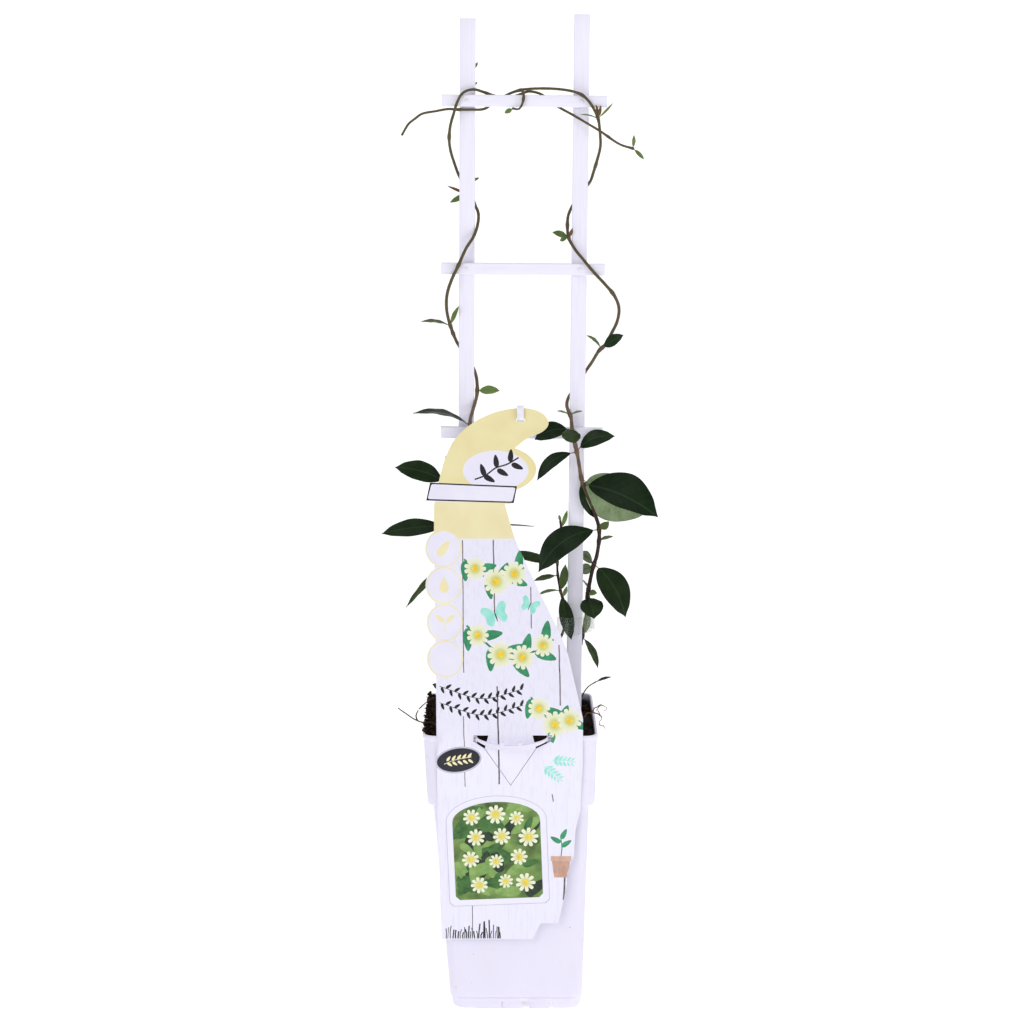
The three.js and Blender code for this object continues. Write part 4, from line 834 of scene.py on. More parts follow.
def blade_half_width(leaf, t):
    """Half a blade's width at t along it, with a drawn-out tip."""
    drawn_from = 0.86
    share = math.sin(math.pi * min(max(t, 0), drawn_from) ** leaf.skew) ** 0.75 / 2
    if t > drawn_from:
        share *= ((1 - t) / (1 - drawn_from)) ** 1.15
    return leaf.width * share


class Spine:
    """A leaf's middle line, with the directions across and over it."""

    def __init__(self, leaf, stem_points):
        goal = Vector(leaf.at)
        self.start = min(stem_points, key=lambda point: (point - goal).length_squared)
        self.end = Vector(leaf.tip)
        along = self.end - self.start
        self.length = along.length
        along.normalize()
        self.side = Vector(leaf.face).cross(along).normalized()
        rise = along.cross(self.side) * 2 * leaf.arch + self.side * 2 * leaf.sweep
        self.crown = self.start.lerp(self.end, 0.5) + rise * self.length
        self.stalk = min(0.12, 4.5 / self.length)

    def point(self, t):
        return self.start * (1 - t) ** 2 + self.crown * 2 * t * (1 - t) + self.end * t * t

    def lift(self, t):
        along = (self.crown - self.start) * (1 - t) + (self.end - self.crown) * t
        return along.normalized().cross(self.side)


def blade(shape, spine, leaf, youth, rng):
    """A thin two-sided blade, which is all bark-brown if it has withered."""
    rows = max(8, min(34, round(spine.length / 1.5)))
    columns = len(BLADE_COLUMNS)
    upper, lower, places = blade_sides(rows, spine, leaf, youth, rng)
    grid = []
    for i in range(rows):
        for a in range(i * columns, (i + 1) * columns - 1):
            grid.append([a, a + columns, a + columns + 1, a + 1])
    base = len(upper)
    rim = blade_rim(rows, columns)
    back = [[base + k for k in reversed(face)] for face in grid]
    edge = [[a, b, base + b, base + a] for a, b in zip(rim, rim[1:] + rim[:1])]
    looks = [UPPER] * len(grid) + [UNDER] * (len(back) + len(edge))
    if youth == WITHERED:
        looks = [BARK] * len(looks)
    shape.add(upper + lower, grid + back + edge, looks, places * 2, youth)


def blade_sides(rows, spine, leaf, youth, rng):
    """Points above and below: folded along the midrib, a little puckered, and waved at the edge."""
    waves = rng.uniform(2, 3.5)
    phase = rng.uniform(0, 6.28)
    waving = 0.03 * leaf.width * rng.uniform(0.4, 1.3)
    thin = lerp(0.45, 0.3, youth)
    upper, lower, places = [], [], []
    for i in range(rows + 1):
        t = i / rows
        share = spine.stalk + (1 - spine.stalk) * t
        half = max(blade_half_width(leaf, t), 0.12)
        middle, lift = spine.point(share), spine.lift(share)
        for column in BLADE_COLUMNS:
            aside = abs(column) * half
            fold = LEAF_FOLD * math.sqrt(aside * aside + 0.1) - 0.05 * aside * abs(column)
            vein = VEIN_PAIRS * t - VEIN_CLIMB * abs(column / 2) ** VEIN_BEND
            pucker = 0.012 * leaf.width * math.sin(2 * math.pi * vein)
            wave = waving * math.sin(waves * 2 * math.pi * t + phase + column) * column * column
            rise = fold + pucker * math.sin(math.pi * abs(column)) + wave * math.sin(math.pi * t)
            across = column + leaf.rib * (1 - column * column)
            surface = middle + spine.side * across * half + lift * rise
            thickness = thin * (1 - 0.5 * abs(column) ** 3)
            upper.append(surface + lift * thickness / 2)
            lower.append(surface - lift * thickness / 2)
            places.append((column * half / leaf.width, t))
    return upper, lower, places


def blade_rim(rows, columns):
    """The numbers of a grid's outer points, in order round it."""
    across = list(range(columns))
    right = [i * columns + columns - 1 for i in range(1, rows + 1)]
    far = [rows * columns + j for j in range(columns - 2, -1, -1)]
    left = [i * columns for i in range(rows - 1, 0, -1)]
    return across + right + far + left


def stalk_and_rib(shape, spine, leaf, youth):
    """The round stalk, which runs on as the midrib under the blade."""
    steps = max(6, round(spine.length / 2.5))
    line = []
    for i in range(steps + 1):
        t = 0.96 * i / steps
        aside = leaf.rib * blade_half_width(leaf, (t - spine.stalk) / (1 - spine.stalk))
        under = 0.22 * smoothstep(t, 0, spine.stalk)
        line.append(spine.point(t) + spine.side * aside - spine.lift(t) * under)

    def radius(i, _):
        t = i / steps
        thick = 0.6 if spine.length > 15 else 0.45
        return lerp(thick, 0.32, smoothstep(t, 0, spine.stalk)) * (1 - 0.55 * t)

    tube(shape, line, radius, 6, STALK, youth)


def bud(shape, place, direction, size):
    """A small pointed bud in a leaf's axil."""
    line = [place + direction * size * k / 3 for k in range(4)]
    widths = [0.34, 0.4, 0.24, 0.06]
    tube(shape, line, lambda i, _: size * widths[i], 6, BARK, 1.0)


def leafy_stem(name, stems, leaves, seed, looks):
    """Stems with swollen nodes, their leaves, and a bud in each larger leaf's axil, as one piece."""
    rng = random.Random(seed)
    shape = Shape()
    lines = [evenly(spline(route), STEM_STEP) for route, _ in stems]
    stem_points = [point for line in lines for point in evenly(line, 0.4)]
    spines = [Spine(leaf, stem_points) for leaf in leaves]
    knots = [spine.start for spine in spines]
    for (_, radius_at), line in zip(stems, lines):
        knots += bare_nodes(line, rng)
        add_stem(shape, line, radius_at, knots)
    for leaf, spine in zip(leaves, spines):
        youth = leaf.youth
        if youth is None:
            youth = 0.75 * (1 - smoothstep(leaf.width, YOUNG_WIDTH, GROWN_WIDTH)) + rng.uniform(0, 0.05)
        blade(shape, spine, leaf, youth, rng)
        stalk_and_rib(shape, spine, leaf, youth)
        if leaf.width > YOUNG_WIDTH:
            axil = spine.lift(0) + (spine.end - spine.start).normalized() * 0.6
            bud(shape, spine.start + spine.lift(0) * 0.9, axil.normalized(), rng.uniform(1.6, 2.4))
    add_piece(name, shape, looks, 60)


def bare_nodes(line, rng):
    """Places along the high, leafless runs where leaves once grew."""
    spacing = 34
    places = []
    for i in range(0, len(line), spacing):
        if line[i].z > BARE_ABOVE:
            places.append(line[min(len(line) - 1, i + rng.randrange(12))])
    return places


def add_stem(shape, line, radius_at, knots):
    last = len(line) - 1

    def radius(i, point):
        near = min(((point - knot).length for knot in knots), default=99)
        swelling = 1 + 0.38 * math.exp(-((near / 2.0) ** 2))
        uneven = 1 + 0.07 * noise.noise(point * 0.22) + 0.05 * noise.noise(point * 0.8)
        return radius_at(i / last) * swelling * uneven

    tube(shape, line, radius, STEM_SIDES, BARK, 0.4)


def make_plant():
    looks = [stem_bark(), leaf_upper(), leaf_under(), young_stalk()]
    vine_left = [(VINE_LEFT_ROUTE, vine_taper), (LEFT_TIP_ROUTE, taper(0.9, 0.6))]
    vine_right = [(VINE_RIGHT_ROUTE, vine_taper), (LOOSE_END_ROUTE, taper(1, 0.7))]
    shoot = taper(1.35, 0.7)
    leafy_stem("vine_left", vine_left, VINE_LEFT_LEAVES, 11, looks)
    leafy_stem("vine_right", vine_right, VINE_RIGHT_LEAVES, 12, looks)
    leafy_stem("shoot_left", [(SHOOT_LEFT_ROUTE, shoot)], SHOOT_LEFT_LEAVES, 13, looks)
    leafy_stem("shoot_right", [(SHOOT_RIGHT_ROUTE, shoot)], SHOOT_RIGHT_LEAVES, 14, looks)
    sprout = [(SPROUT_ROUTE, taper(0.7, 0.4))]
    leafy_stem("sprout", sprout, SPROUT_LEAVES, 15, looks)


# ---- The pot ----

CORNER_STEPS = 10
SIDE_STEPS = 8


def pot_shift(z):
    if z < POT_COLLAR_HEIGHT:
        return lerp(SHIFT_AT_FOOT, SHIFT_AT_COLLAR, z / POT_COLLAR_HEIGHT)
    share = (z - POT_COLLAR_HEIGHT) / (POT_HEIGHT - POT_COLLAR_HEIGHT)
    return lerp(SHIFT_AT_COLLAR, SHIFT_AT_RIM, share)


def square_ring(width, level, height_at, corner_share=POT_CORNER_SHARE, uneven=0.0):
    """A square with rounded corners, its sides a little uneven, round the pot's middle."""
    radius = width * corner_share
    inner = width / 2 - radius
    ring = []
    for corner in range(4):
        turn = corner * math.pi / 2
        centre = Matrix.Rotation(turn, 2) @ Vector((inner, inner))
        arc = [turn + math.pi / 2 * i / CORNER_STEPS for i in range(CORNER_STEPS + 1)]
        ring += [centre + Vector((math.cos(angle), math.sin(angle))) * radius for angle in arc]
        after = Matrix.Rotation(turn + math.pi / 2, 2) @ Vector((inner, inner))
        out = Vector((math.cos(arc[-1]), math.sin(arc[-1]))) * radius
        ring += [(centre + out).lerp(after + out, i / SIDE_STEPS) for i in range(1, SIDE_STEPS)]
    placed = [Vector((x, y, height_at(x, y))) for x, y in ring]
    bent = [point * (1 + uneven * noise.noise(point * 0.03) / width) for point in placed]
    return [point + Vector((pot_shift(level), 0, 0)) for point in bent]


def level_ring(width, z, corner_share=POT_CORNER_SHARE, uneven=0.0):
    ring = square_ring(width, z, lambda x, y: z, corner_share, uneven)
    return [Vector((x, y, z)) for x, y, _ in ring]


def pot_levels():
    """Width and height up the outside of the pot, over its lip and down the inside."""
    lip, top = POT_RIM_WIDTH, POT_HEIGHT
    inner = POT_RIM_WIDTH - 2 * POT_WALL
    wide, narrow = POT_COLLAR_WIDTH, POT_NECK_WIDTH
    floor = POT_BASE_WIDTH - 2 * POT_WALL
    base, collar = POT_BASE_HEIGHT, POT_COLLAR_HEIGHT
    body = [
        (lerp(POT_BASE_WIDTH, narrow, t), lerp(base + 1.6, collar - 0.6, t)) for t in steps(12)
    ]
    flare = [(lerp(wide, lip - 0.9, t), lerp(collar + 3, top - 3.6, t)) for t in steps(6)]
    return [
        (POT_BASE_WIDTH - 6, base - 0.5), (POT_BASE_WIDTH - 2.4, base - 0.4),
        (POT_BASE_WIDTH - 1.2, base), (POT_BASE_WIDTH - 0.4, base + 0.7), *body,
        (narrow + 0.8, collar - 0.1), (wide - 4, collar), (wide - 1.6, collar + 0.7),
        (wide - 0.4, collar + 1.7), *flare,
        (lip - 0.3, top - 3.3), (lip + 0.2, top - 2.8), (lip + 0.3, top - 1.8), (lip + 0.2, top - 0.6),
        (lip - 0.5, top), (inner + 0.7, top), (inner, top - 0.5), (inner - 0.4, top - 4),
        (wide - 2 * POT_WALL, collar + 4), (narrow - 2 * POT_WALL, collar),
        (floor + 1, base + POT_WALL + 1.9), (floor - 2, base + POT_WALL + 0.1),
    ]


def steps(count):
    return [i / count for i in range(count + 1)]


def pot_shell():
    rings = [level_ring(width, z, uneven=0.35) for width, z in pot_levels()]
    return make_object("pot", loft(Shape(), rings), 35)


def foot_ring():
    """The wall that the pot stands on, set off from the body by a fine groove."""
    outer, low, inner = FOOT_WIDTH, FOOT_WIDTH - FOOT_DRAFT, FOOT_WIDTH - 2 * FOOT_WALL
    top = POT_BASE_HEIGHT
    profile = [
        (low - 2.8, 0), (low - 1.2, 0.4), (low - 0.3, 1.1), (low, 2), (outer, top - 1),
        (outer - 0.9, top - 0.5), (outer - 1.6, top + 0.1), (inner, top + 0.1), (inner, 0.6),
        (inner + 0.8, 0),
    ]
    rings = [level_ring(width, z, FOOT_CORNER_SHARE) for width, z in profile]
    return make_object("foot", loft(Shape(), rings, closed=True))


def bow_line():
    wall = -POT_RIM_WIDTH / 2
    inset = STRAP_THICKNESS / 2
    foot = STRAP_HALF_SPAN + 0.6 - inset
    half = [
        (-foot, 1.4), (-foot + STRAP_THICKNESS, -0.42 * STRAP_BOW + inset),
        (-0.5 * STRAP_HALF_SPAN, -0.86 * STRAP_BOW + inset), (0, -STRAP_BOW + inset),
    ]
    line = half + [(-x, y) for x, y in reversed(half[:-1])]
    return evenly(spline([(x, wall + y, 0) for x, y in line]), 1.5)


def strap_height(x, middle, end):
    """The height of the strap's lower or upper edge."""
    return lerp(middle, end, min(1, abs(x) / STRAP_HALF_SPAN) ** 2)


def soft_section(half, low, high, soft):
    """A flat bar's section with its corners cut off: from -half to half, and from low to high."""
    return [
        (-half, low + soft), (-half + soft, low), (half - soft, low), (half, low + soft),
        (half, high - soft), (half - soft, high), (-half + soft, high), (-half, high - soft),
    ]


def strap_band():
    """The strap's bow: a flat band on edge with rounded edges, lower and wider in its middle."""
    line = bow_line()
    rings = []
    for point, along in zip(line, tangents(line)):
        out = along.cross(UP)
        low = strap_height(point.x, STRAP_BOTTOM, STRAP_END_BOTTOM)
        high = strap_height(point.x, STRAP_TOP, STRAP_END_TOP)
        section = soft_section(STRAP_THICKNESS / 2, low, high, 0.4)
        rings.append([point + out * x + UP * z for x, z in section])
    return make_object("strap", loft(Shape(), rings))


def drain_holes():
    holes = []
    for x in (SHIFT_AT_FOOT - DRAIN_OFFSET, SHIFT_AT_FOOT + DRAIN_OFFSET):
        for y in (-DRAIN_OFFSET, DRAIN_OFFSET):
            line = [Vector((x, y, z)) for z in (-6, 3, 24)]
            drill = tube(Shape(), line, lambda i, _: DRAIN_RADIUS, 24)
            holes.append(("DIFFERENCE", make_object("drain", drill)))
    return holes


def strap_notch():
    """The gap in the rim that the strap bridges."""
    height = POT_HEIGHT - STRAP_NOTCH_FLOOR + 4
    centre = (0, -POT_RIM_WIDTH / 2, STRAP_NOTCH_FLOOR + height / 2)
    return ("DIFFERENCE", rounded_box((2 * STRAP_HALF_SPAN - 2, 12, height), centre, 0.8))


def notched_foot():
    """The foot ring with a wide notch in each of its sides."""
    below = 8
    wide, high, through = FOOT_NOTCH_WIDTH, FOOT_NOTCH_HEIGHT + below, FOOT_WIDTH + 10
    middle = (SHIFT_AT_FOOT, 0, (FOOT_NOTCH_HEIGHT - below) / 2)
    sizes = [(wide, through, high), (through, wide, high)]
    return combine(foot_ring(), [("DIFFERENCE", rounded_box(size, middle, 0.8)) for size in sizes])


def foot_ribs():
    height = POT_BASE_HEIGHT + POT_WALL / 2
    ribs = []
    for left, right in FOOT_RIBS:
        size = (right - left, FOOT_RIB_LENGTH, height)
        ribs.append(("UNION", rounded_box(size, ((left + right) / 2, 0, height / 2), 0.5)))
    return ribs


def strap_nubs():
    """Two small lugs on top of the strap."""
    y = -POT_RIM_WIDTH / 2 - STRAP_BOW + 1.2
    nubs = []
    for x in STRAP_NUB_PLACES:
        z = strap_height(x, STRAP_TOP, STRAP_END_TOP) + 0.5
        nubs.append(("UNION", rounded_box(STRAP_NUB_SIZE, (x, y, z), 0.7, 3)))
    return nubs


def make_pot():
    pot = pot_shell()
    parts = [*drain_holes(), strap_notch(), ("UNION", notched_foot()), *foot_ribs()]
    combine(pot, [*parts, ("UNION", strap_band()), *strap_nubs()])
    shade_smooth(pot.data, 35)
    finish_piece(pot, "pot", [white_plastic()])


# ---- The soil and what lies on it ----

CRUMBS, SPILT_CRUMBS = 620, 520
SHREDS, SPILT_SHREDS = 170, 26


def soil_rise(x, y):
    """The soil is heaped on the left and a little uneven everywhere."""
    return (
        4.8 * smoothstep(-x, 22, 58)
        + 0.9 * math.sin(0.31 * x + 0.7) * math.cos(0.27 * y)
        + 0.6 * math.sin(0.62 * y - 0.4 * x)
    )


def soil_top(x, y):
    place = Vector((x, y, 0))
    rough = 1.1 * noise.noise(place * 0.35) + 0.7 * noise.noise(place * 0.9)
    return SOIL_LEVEL + soil_rise(x, y) + rough


def soil_width(z):
    """The width of the space in the pot at a height in its collar, less the clearance."""
    flare = (POT_RIM_WIDTH - POT_COLLAR_WIDTH) / (POT_HEIGHT - POT_COLLAR_HEIGHT)
    return POT_RIM_WIDTH - 2 * (POT_WALL + CLEARANCE) + flare * (z - POT_HEIGHT)


def lump(shape, centre, size, rng, tone):
    """A crumb: a small rough ball, squashed a little."""
    squash = Vector((rng.uniform(0.7, 1.2), rng.uniform(0.7, 1.2), rng.uniform(0.5, 0.9)))
    seed = Vector((rng.uniform(0, 50), rng.uniform(0, 50), 0))
    points = []
    for direction in LUMP_POINTS:
        reach = size * (1 + 0.55 * noise.noise(direction * 1.7 + seed))
        points.append(centre + Vector([d * s * reach for d, s in zip(direction, squash)]))
    shape.add(points, LUMP_FACES, 0, tone=tone)


def ball():
    mesh = bmesh.new()
    bmesh.ops.create_icosphere(mesh, subdivisions=2, radius=1)
    points = [vert.co.copy() for vert in mesh.verts]
    faces = [[vert.index for vert in face.verts] for face in mesh.faces]
    mesh.free()
    return points, faces


LUMP_POINTS, LUMP_FACES = ball()


def soil_body():
    """Rings up the pot's inside, then inwards over the rough top."""
    thinner = 2 * (POT_WALL + CLEARANCE)
    below = [
        (POT_BASE_WIDTH - thinner, POT_BASE_HEIGHT + POT_WALL + CLEARANCE),
        (POT_NECK_WIDTH - thinner, POT_COLLAR_HEIGHT),
        (POT_COLLAR_WIDTH - thinner, POT_COLLAR_HEIGHT + 4),
    ]
    rings = [level_ring(width, z) for width, z in below]
    for i in range(40):
        rings.append(square_ring(soil_width(SOIL_LEVEL) * (1 - i / 40.5), SOIL_LEVEL, soil_top))
    return rings


def make_soil():
    """The soil with its crumbs and shreds, some of them spilt over the pot's left rim."""
    rng = random.Random(5)
    shape = loft(Shape(), soil_body())
    half = soil_width(SOIL_LEVEL) / 2 - 1.5
    edge = POT_RIM_WIDTH / 2 - SHIFT_AT_RIM
    for _ in range(CRUMBS):
        x, y = rng.uniform(-half, half), rng.uniform(-half, half)
        size = rng.choice((0.5, 0.7, 0.9, 1.2, 1.7))
        lump(shape, Vector((x, y, soil_top(x, y) + size * 0.2)), size, rng, rng.random())
    for _ in range(SPILT_CRUMBS):
        x, y = -edge + rng.uniform(0, 8), rng.uniform(-56, 60)
        size = rng.uniform(0.5, 1.6)
        low = POT_HEIGHT if x < POT_WALL - edge else soil_top(x, y)
        lump(shape, Vector((x, y, low + rng.uniform(0, 2))), size, rng, rng.random())
    for _ in range(SHREDS):
        add_fibre(shape, rng, (rng.uniform(-half, half), rng.uniform(-half, half)), half)
    for _ in range(SPILT_SHREDS):
        place = -half + rng.uniform(-1, 3), rng.uniform(-55, 55)
        add_fibre(shape, rng, place, edge + 2)
    add_piece("soil", shape, [soil_earth()], 60)


def add_fibre(shape, rng, start, half):
    """A bent shred of bark or root on the soil, which ends where it would leave a square."""
    x, y = start
    heading = rng.uniform(0, 2 * math.pi)
    point = Vector((x, y, soil_top(x, y) + 0.2))
    line = [point]
    for k in range(7):
        heading += rng.uniform(-0.6, 0.6)
        step = Vector((math.cos(heading), math.sin(heading), 0)) * rng.uniform(1, 2.2)
        point = point + step
        if max(abs(point.x), abs(point.y)) > half:
            break
        point.z = soil_top(point.x, point.y) + 0.3 + 1.6 * math.sin(k) ** 2 * rng.random()
        if point.x < -POT_COLLAR_WIDTH / 2:
            point.z = max(point.z, POT_HEIGHT + 0.4)
        line.append(point.copy())
    if len(line) > 3:
        width = rng.uniform(0.14, 0.32)
        tube(shape, line, lambda i, _: width, 5, 0, rng.uniform(0.2, 1))


def fine_stems(name, routes, material, curls=0.0, fibres=()):
    """Thin dry stems and still thinner fibres, with a curl if they are roots."""
    shape = Shape()
    for route in [*routes, *fibres]:
        thick = 0.3 if route in fibres else 0.65
        line = evenly(spline(route), 0.8)
        last = len(line) - 1
        if curls:
            line = [p + curl(p) * curls * min(1, i / 12) for i, p in enumerate(line)]

        def radius(i, point):
            return thick * (1 - 0.4 * i / last) * (1 + 0.25 * noise.noise(point * 0.6))

        tube(shape, line, radius, 8)
    add_piece(name, shape, [material], 60)


def curl(point):
    near = point * 0.35
    return Vector((noise.noise(near), noise.noise(near + UP * 7), noise.noise(point * 0.4)))


# ---- The ladder ----

LADDER_MATRIX = Matrix.Translation(LADDER_BASE) @ Matrix.Rotation(LADDER_LEAN, 4, "Y")
X_AXIS, Y_AXIS = Vector((1, 0, 0)), Vector((0, 1, 0))


def rounded_outline(width, depth, radius):
    """A rectangle with rounded corners, counter-clockwise from its lower right."""
    outline = []
    for start, sx, sy in ((-90, 1, -1), (0, 1, 1), (90, -1, 1), (180, -1, -1)):
        corner = Vector((sx * (width / 2 - radius), sy * (depth / 2 - radius)))
        for k in range(5):
            angle = math.radians(start + 22.5 * k)
            outline.append(corner + Vector((math.cos(angle), math.sin(angle))) * radius)
    return outline


def bar(start, end, width_axis, width, depth_axis, depth):
    """A sawn bar with rounded edges and slightly uneven faces."""
    outline = rounded_outline(width, depth, 0.8)
    length = (end - start).length
    rings = []
    for station in [0, 0.25, *[length * t for t in steps(60)][1:-1], length - 0.25, length]:
        tight = 0.97 if station in (0, length) else 1
        centre = start.lerp(end, station / length)
        ring = [centre + (width_axis * u + depth_axis * v) * tight for u, v in outline]
        rings.append([point + (point - centre) * 0.018 * noise.noise(point * 0.05) for point in ring])
    return loft(Shape(), [[LADDER_MATRIX @ point for point in ring] for ring in rings])


def nail_head(x, z):
    """A slightly domed round head on its shaft."""
    front = RUNG_FRONT - CLEARANCE
    wide, high = NAIL_HEAD_RADIUS, NAIL_HEAD_HEIGHT
    profile = [
        (0.6, 6), (0.6, 0.02), (wide - 0.1, 0), (wide, -0.15), (wide - 0.15, -0.35), (0.8, -high),
        (0.2, -high - 0.05),
    ]
    rings = []
    for radius, depth in profile:
        ring = round_ring(Vector((x, front + depth, z)), X_AXIS, UP, radius, 20)
        rings.append([LADDER_MATRIX @ point for point in ring])
    return loft(Shape(), rings)


def make_ladder():
    stile_paint = painted_wood("stile_paint", (1, 1, 14))
    rung_paint = painted_wood("rung_paint", (14, 1, 1))
    steel = nail_steel()
    sides = {"left": -STILE_SPREAD / 2, "right": STILE_SPREAD / 2}
    for side, x in sides.items():
        top = Vector((x, 0, STILE_LENGTHS[side]))
        stile = bar(Vector((x, 0, 0)), top, X_AXIS, STILE_WIDTH, Y_AXIS, STILE_DEPTH)
        add_piece(f"stile_{side}", stile, [stile_paint])
    for name, z in RUNG_HEIGHTS.items():
        ends = [Vector((sign * RUNG_LENGTH / 2, RUNG_FRONT + RUNG_DEPTH / 2, z)) for sign in (-1, 1)]
        rung = bar(*ends, Y_AXIS, RUNG_DEPTH, UP, RUNG_HEIGHT)
        add_piece(f"rung_{name}", rung, [rung_paint])
        for side, x in sides.items():
            add_piece(f"nail_{name}_{side}", nail_head(x, z), [steel])


# ---- Bands: the tie and the tape ----


def band(loop, out_axis, thickness, width, uneven=0.0):
    """A closed band with rounded edges that stands on a loop; out_axis is the way of its width."""
    line = evenly([*spline(loop, closed=True), Vector(loop[0])], 0.9)[:-1]
    section = soft_section(thickness / 2, -width / 2, width / 2, min(0.2, thickness / 2))
    count = len(line)
    rings = []
    for i, point in enumerate(line):
        along = (line[(i + 1) % count] - line[i - 1]).normalized()
        outward = along.cross(out_axis)
        sway = uneven * noise.noise(point * 0.3)
        rings.append([point + outward * (x + sway) + out_axis * z for x, z in section])
    return loft(Shape(), rings, closed=True)


def make_tie():
    loop = [(TIE_X, y, z) for y, z in TIE_LOOP]
    tie = band(loop, X_AXIS, TIE_THICKNESS, TIE_WIDTH)
    add_piece("label_tie", tie, [tie_plastic()])


def make_tape():
    loop = [(x, y, TAPE_BOTTOM + TAPE_HEIGHT / 2) for x, y in TAPE_LOOP]
    tape = band(loop, UP, TAPE_THICKNESS, TAPE_HEIGHT, uneven=0.3)
    add_piece("stem_tape", tape, [clear_tape()])


# ---- The tag: one sheet whose front is printed ----

Print = namedtuple("Print", "ink outline centre radius turn", defaults=[(0, 0), 1, 0])
CUT = "cut"


def ellipse(centre, half_width, half_height, count=32, turn=0.0):
    angles = [2 * math.pi * i / count for i in range(count)]
    outline = [(half_width * math.cos(angle), half_height * math.sin(angle)) for angle in angles]
    return turned(outline, centre, turn)


def circle(centre, radius, count=40):
    return ellipse(centre, radius, radius, count)


def smooth(points, closed=False, per_span=3):
    """A flat spline through points."""
    return [tuple(point) for point in spline(points, closed, per_span)]


def turned(points, centre, turn, size=1.0):
    """Points given round (0, 0), turned, sized and moved to a centre."""
    cos, sin = math.cos(turn) * size, math.sin(turn) * size
    return [(centre[0] + x * cos - z * sin, centre[1] + x * sin + z * cos) for x, z in points]


def ribbon(line, width):
    """The outline of a thin stroke along a line."""
    flat = [Vector(point) for point in line]
    sides = [along.orthogonal() * width / 2 for along in tangents(flat)]
    left = [tuple(point + side) for point, side in zip(flat, sides)]
    right = [tuple(point - side) for point, side in zip(flat, sides)]
    return left + right[::-1]


def leaf_print(ink, centre, length, turn):
    half = length / 2
    outline = []
    for i in range(14):
        angle = 2 * math.pi * i / 14
        across = 0.42 * half * math.sin(angle) * (1 - 0.35 * math.cos(angle))
        outline.append((half * math.cos(angle), across))
    return Print(ink, turned(outline, centre, turn), centre, half, turn)


def leaf_pairs(ink, foot, turn, first, step, aside, sizes, splay):
    """Pairs of leaves along a straight stem, one pair for each size."""
    prints = []
    for k, size in enumerate(sizes):
        for side in (1, -1):
            place = turned([(first + step * k, side * aside)], foot, turn)[0]
            prints.append(leaf_print(ink, place, size, turn + side * splay))
    return prints


def daisy(centre, radius, turn, petals=11):
    """Narrow petals round a yellow eye."""
    side = [(0.18, 0.05), (0.55, 0.17), (0.92, 0.13)]
    petal = smooth([(x, -z) for x, z in side] + side[::-1], True)
    prints = []
    for i in range(petals):
        outline = turned(petal, centre, turn + 2 * math.pi * i / petals, radius)
        prints.append(Print("petal", outline, centre, radius, turn))
    return [*prints, Print("eye", circle(centre, 0.27 * radius, 16), centre, radius, turn)]


def tag_sheet():
    """The sheet's own outline: its body, oval, plaque and discs."""
    hook, edge = plain_spline(TAG_HOOK), plain_spline(TAG_RIGHT_EDGE)
    return [
        Print("planks", hook + [TAG_PLAQUE[2]] + edge + TAG_FOOT + TAG_LEFT_EDGE),
        Print("hook_yellow", hook + [(1.3, 396), (-57, 396)]),
        Print("hook_yellow", ellipse(TAG_OVAL_CENTRE, *TAG_OVAL_SIZE, 48)),
        Print("paper", TAG_PLAQUE),
        *[Print("paper", circle(place, TAG_DISC_RADIUS)) for place in TAG_DISC_PLACES],
    ]


def tag_cuts():
    width, bottom, top = TIE_SLOT
    left, right = TIE_X - width / 2, TIE_X + width / 2
    slot = [(left, bottom), (right, bottom), (right, top), (left, top)]
    return [Print(CUT, TAG_OPENING), Print(CUT, slot)]


def plank_gaps():
    """Dark gaps between the printed planks, each a little uneven."""
    gaps = [
        ((-37, 364), (-36, 268), 0.7), ((-36, 236), (-35, 182), 0.6), ((-14, 364), (-13, 312), 0.9),
        ((14, 330), (14.5, 300), 0.7), ((-11, 258), (-9.5, 184), 1.1), ((35, 288), (36, 244), 0.9),
        ((-30, 92), (-30, 62), 0.6), ((40, 112), (39, 92), 1.3), ((30, 176), (31, 170), 0.8),
    ]
    rng = random.Random(21)
    prints = []
    for (x0, z0), (x1, z1), width in gaps:
        line = []
        for share in steps(max(3, round((z0 - z1) / 7))):
            line.append((lerp(x0, x1, share) + rng.uniform(-0.15, 0.15), lerp(z0, z1, share)))
        prints.append(Print("gap", ribbon(line, width)))
    return prints


def header_prints():
    """The oval with its sprig, the empty plaque and the plain block under it."""
    stem = [(-28, 408), (-20, 411), (-12, 416.5), (-4, 419), (5, 424)]
    leaves = [
        (-22, 415, 1.9), (-17, 408.5, -0.5), (-12, 421.5, 1.7), (-7, 413, -0.5), (-1, 425.5, 1.5),
        (4, 417.5, -0.4),
    ]
    return [
        Print("block_cream", [(-62, 391.5), (4, 391.5), (4, 365), (-62, 365)]),
        Print("paper", ellipse((-12.3, 414.6), 24.6, 14.6, 48)),
        Print("charcoal", ribbon(smooth(stem, per_span=6), 1.1)),
        *[leaf_print("charcoal", (x, z), 9.5, turn) for x, z, turn in leaves],
        Print("charcoal", TAG_PLAQUE),
        Print("paper", inset_outline(TAG_PLAQUE, 1.05)),
    ]


def inset_outline(corners, margin, round_by=1.6):
    """A four-cornered outline drawn in by a margin, with its corners rounded."""
    centre = sum((Vector(corner) for corner in corners), Vector((0, 0))) / 4
    drawn = []
    for corner in corners:
        away = Vector(corner) - centre
        drawn.append(centre + Vector([part - math.copysign(margin, part) for part in away]))
    outline = []
    for i, corner in enumerate(drawn):
        before = (drawn[i - 1] - corner).normalized() * round_by
        after = (drawn[(i + 1) % 4] - corner).normalized() * round_by
        for t in (0, 0.25, 0.5, 0.75, 1):
            outline.append(tuple(corner + before * (1 - t) ** 2 + after * t * t))
    return outline


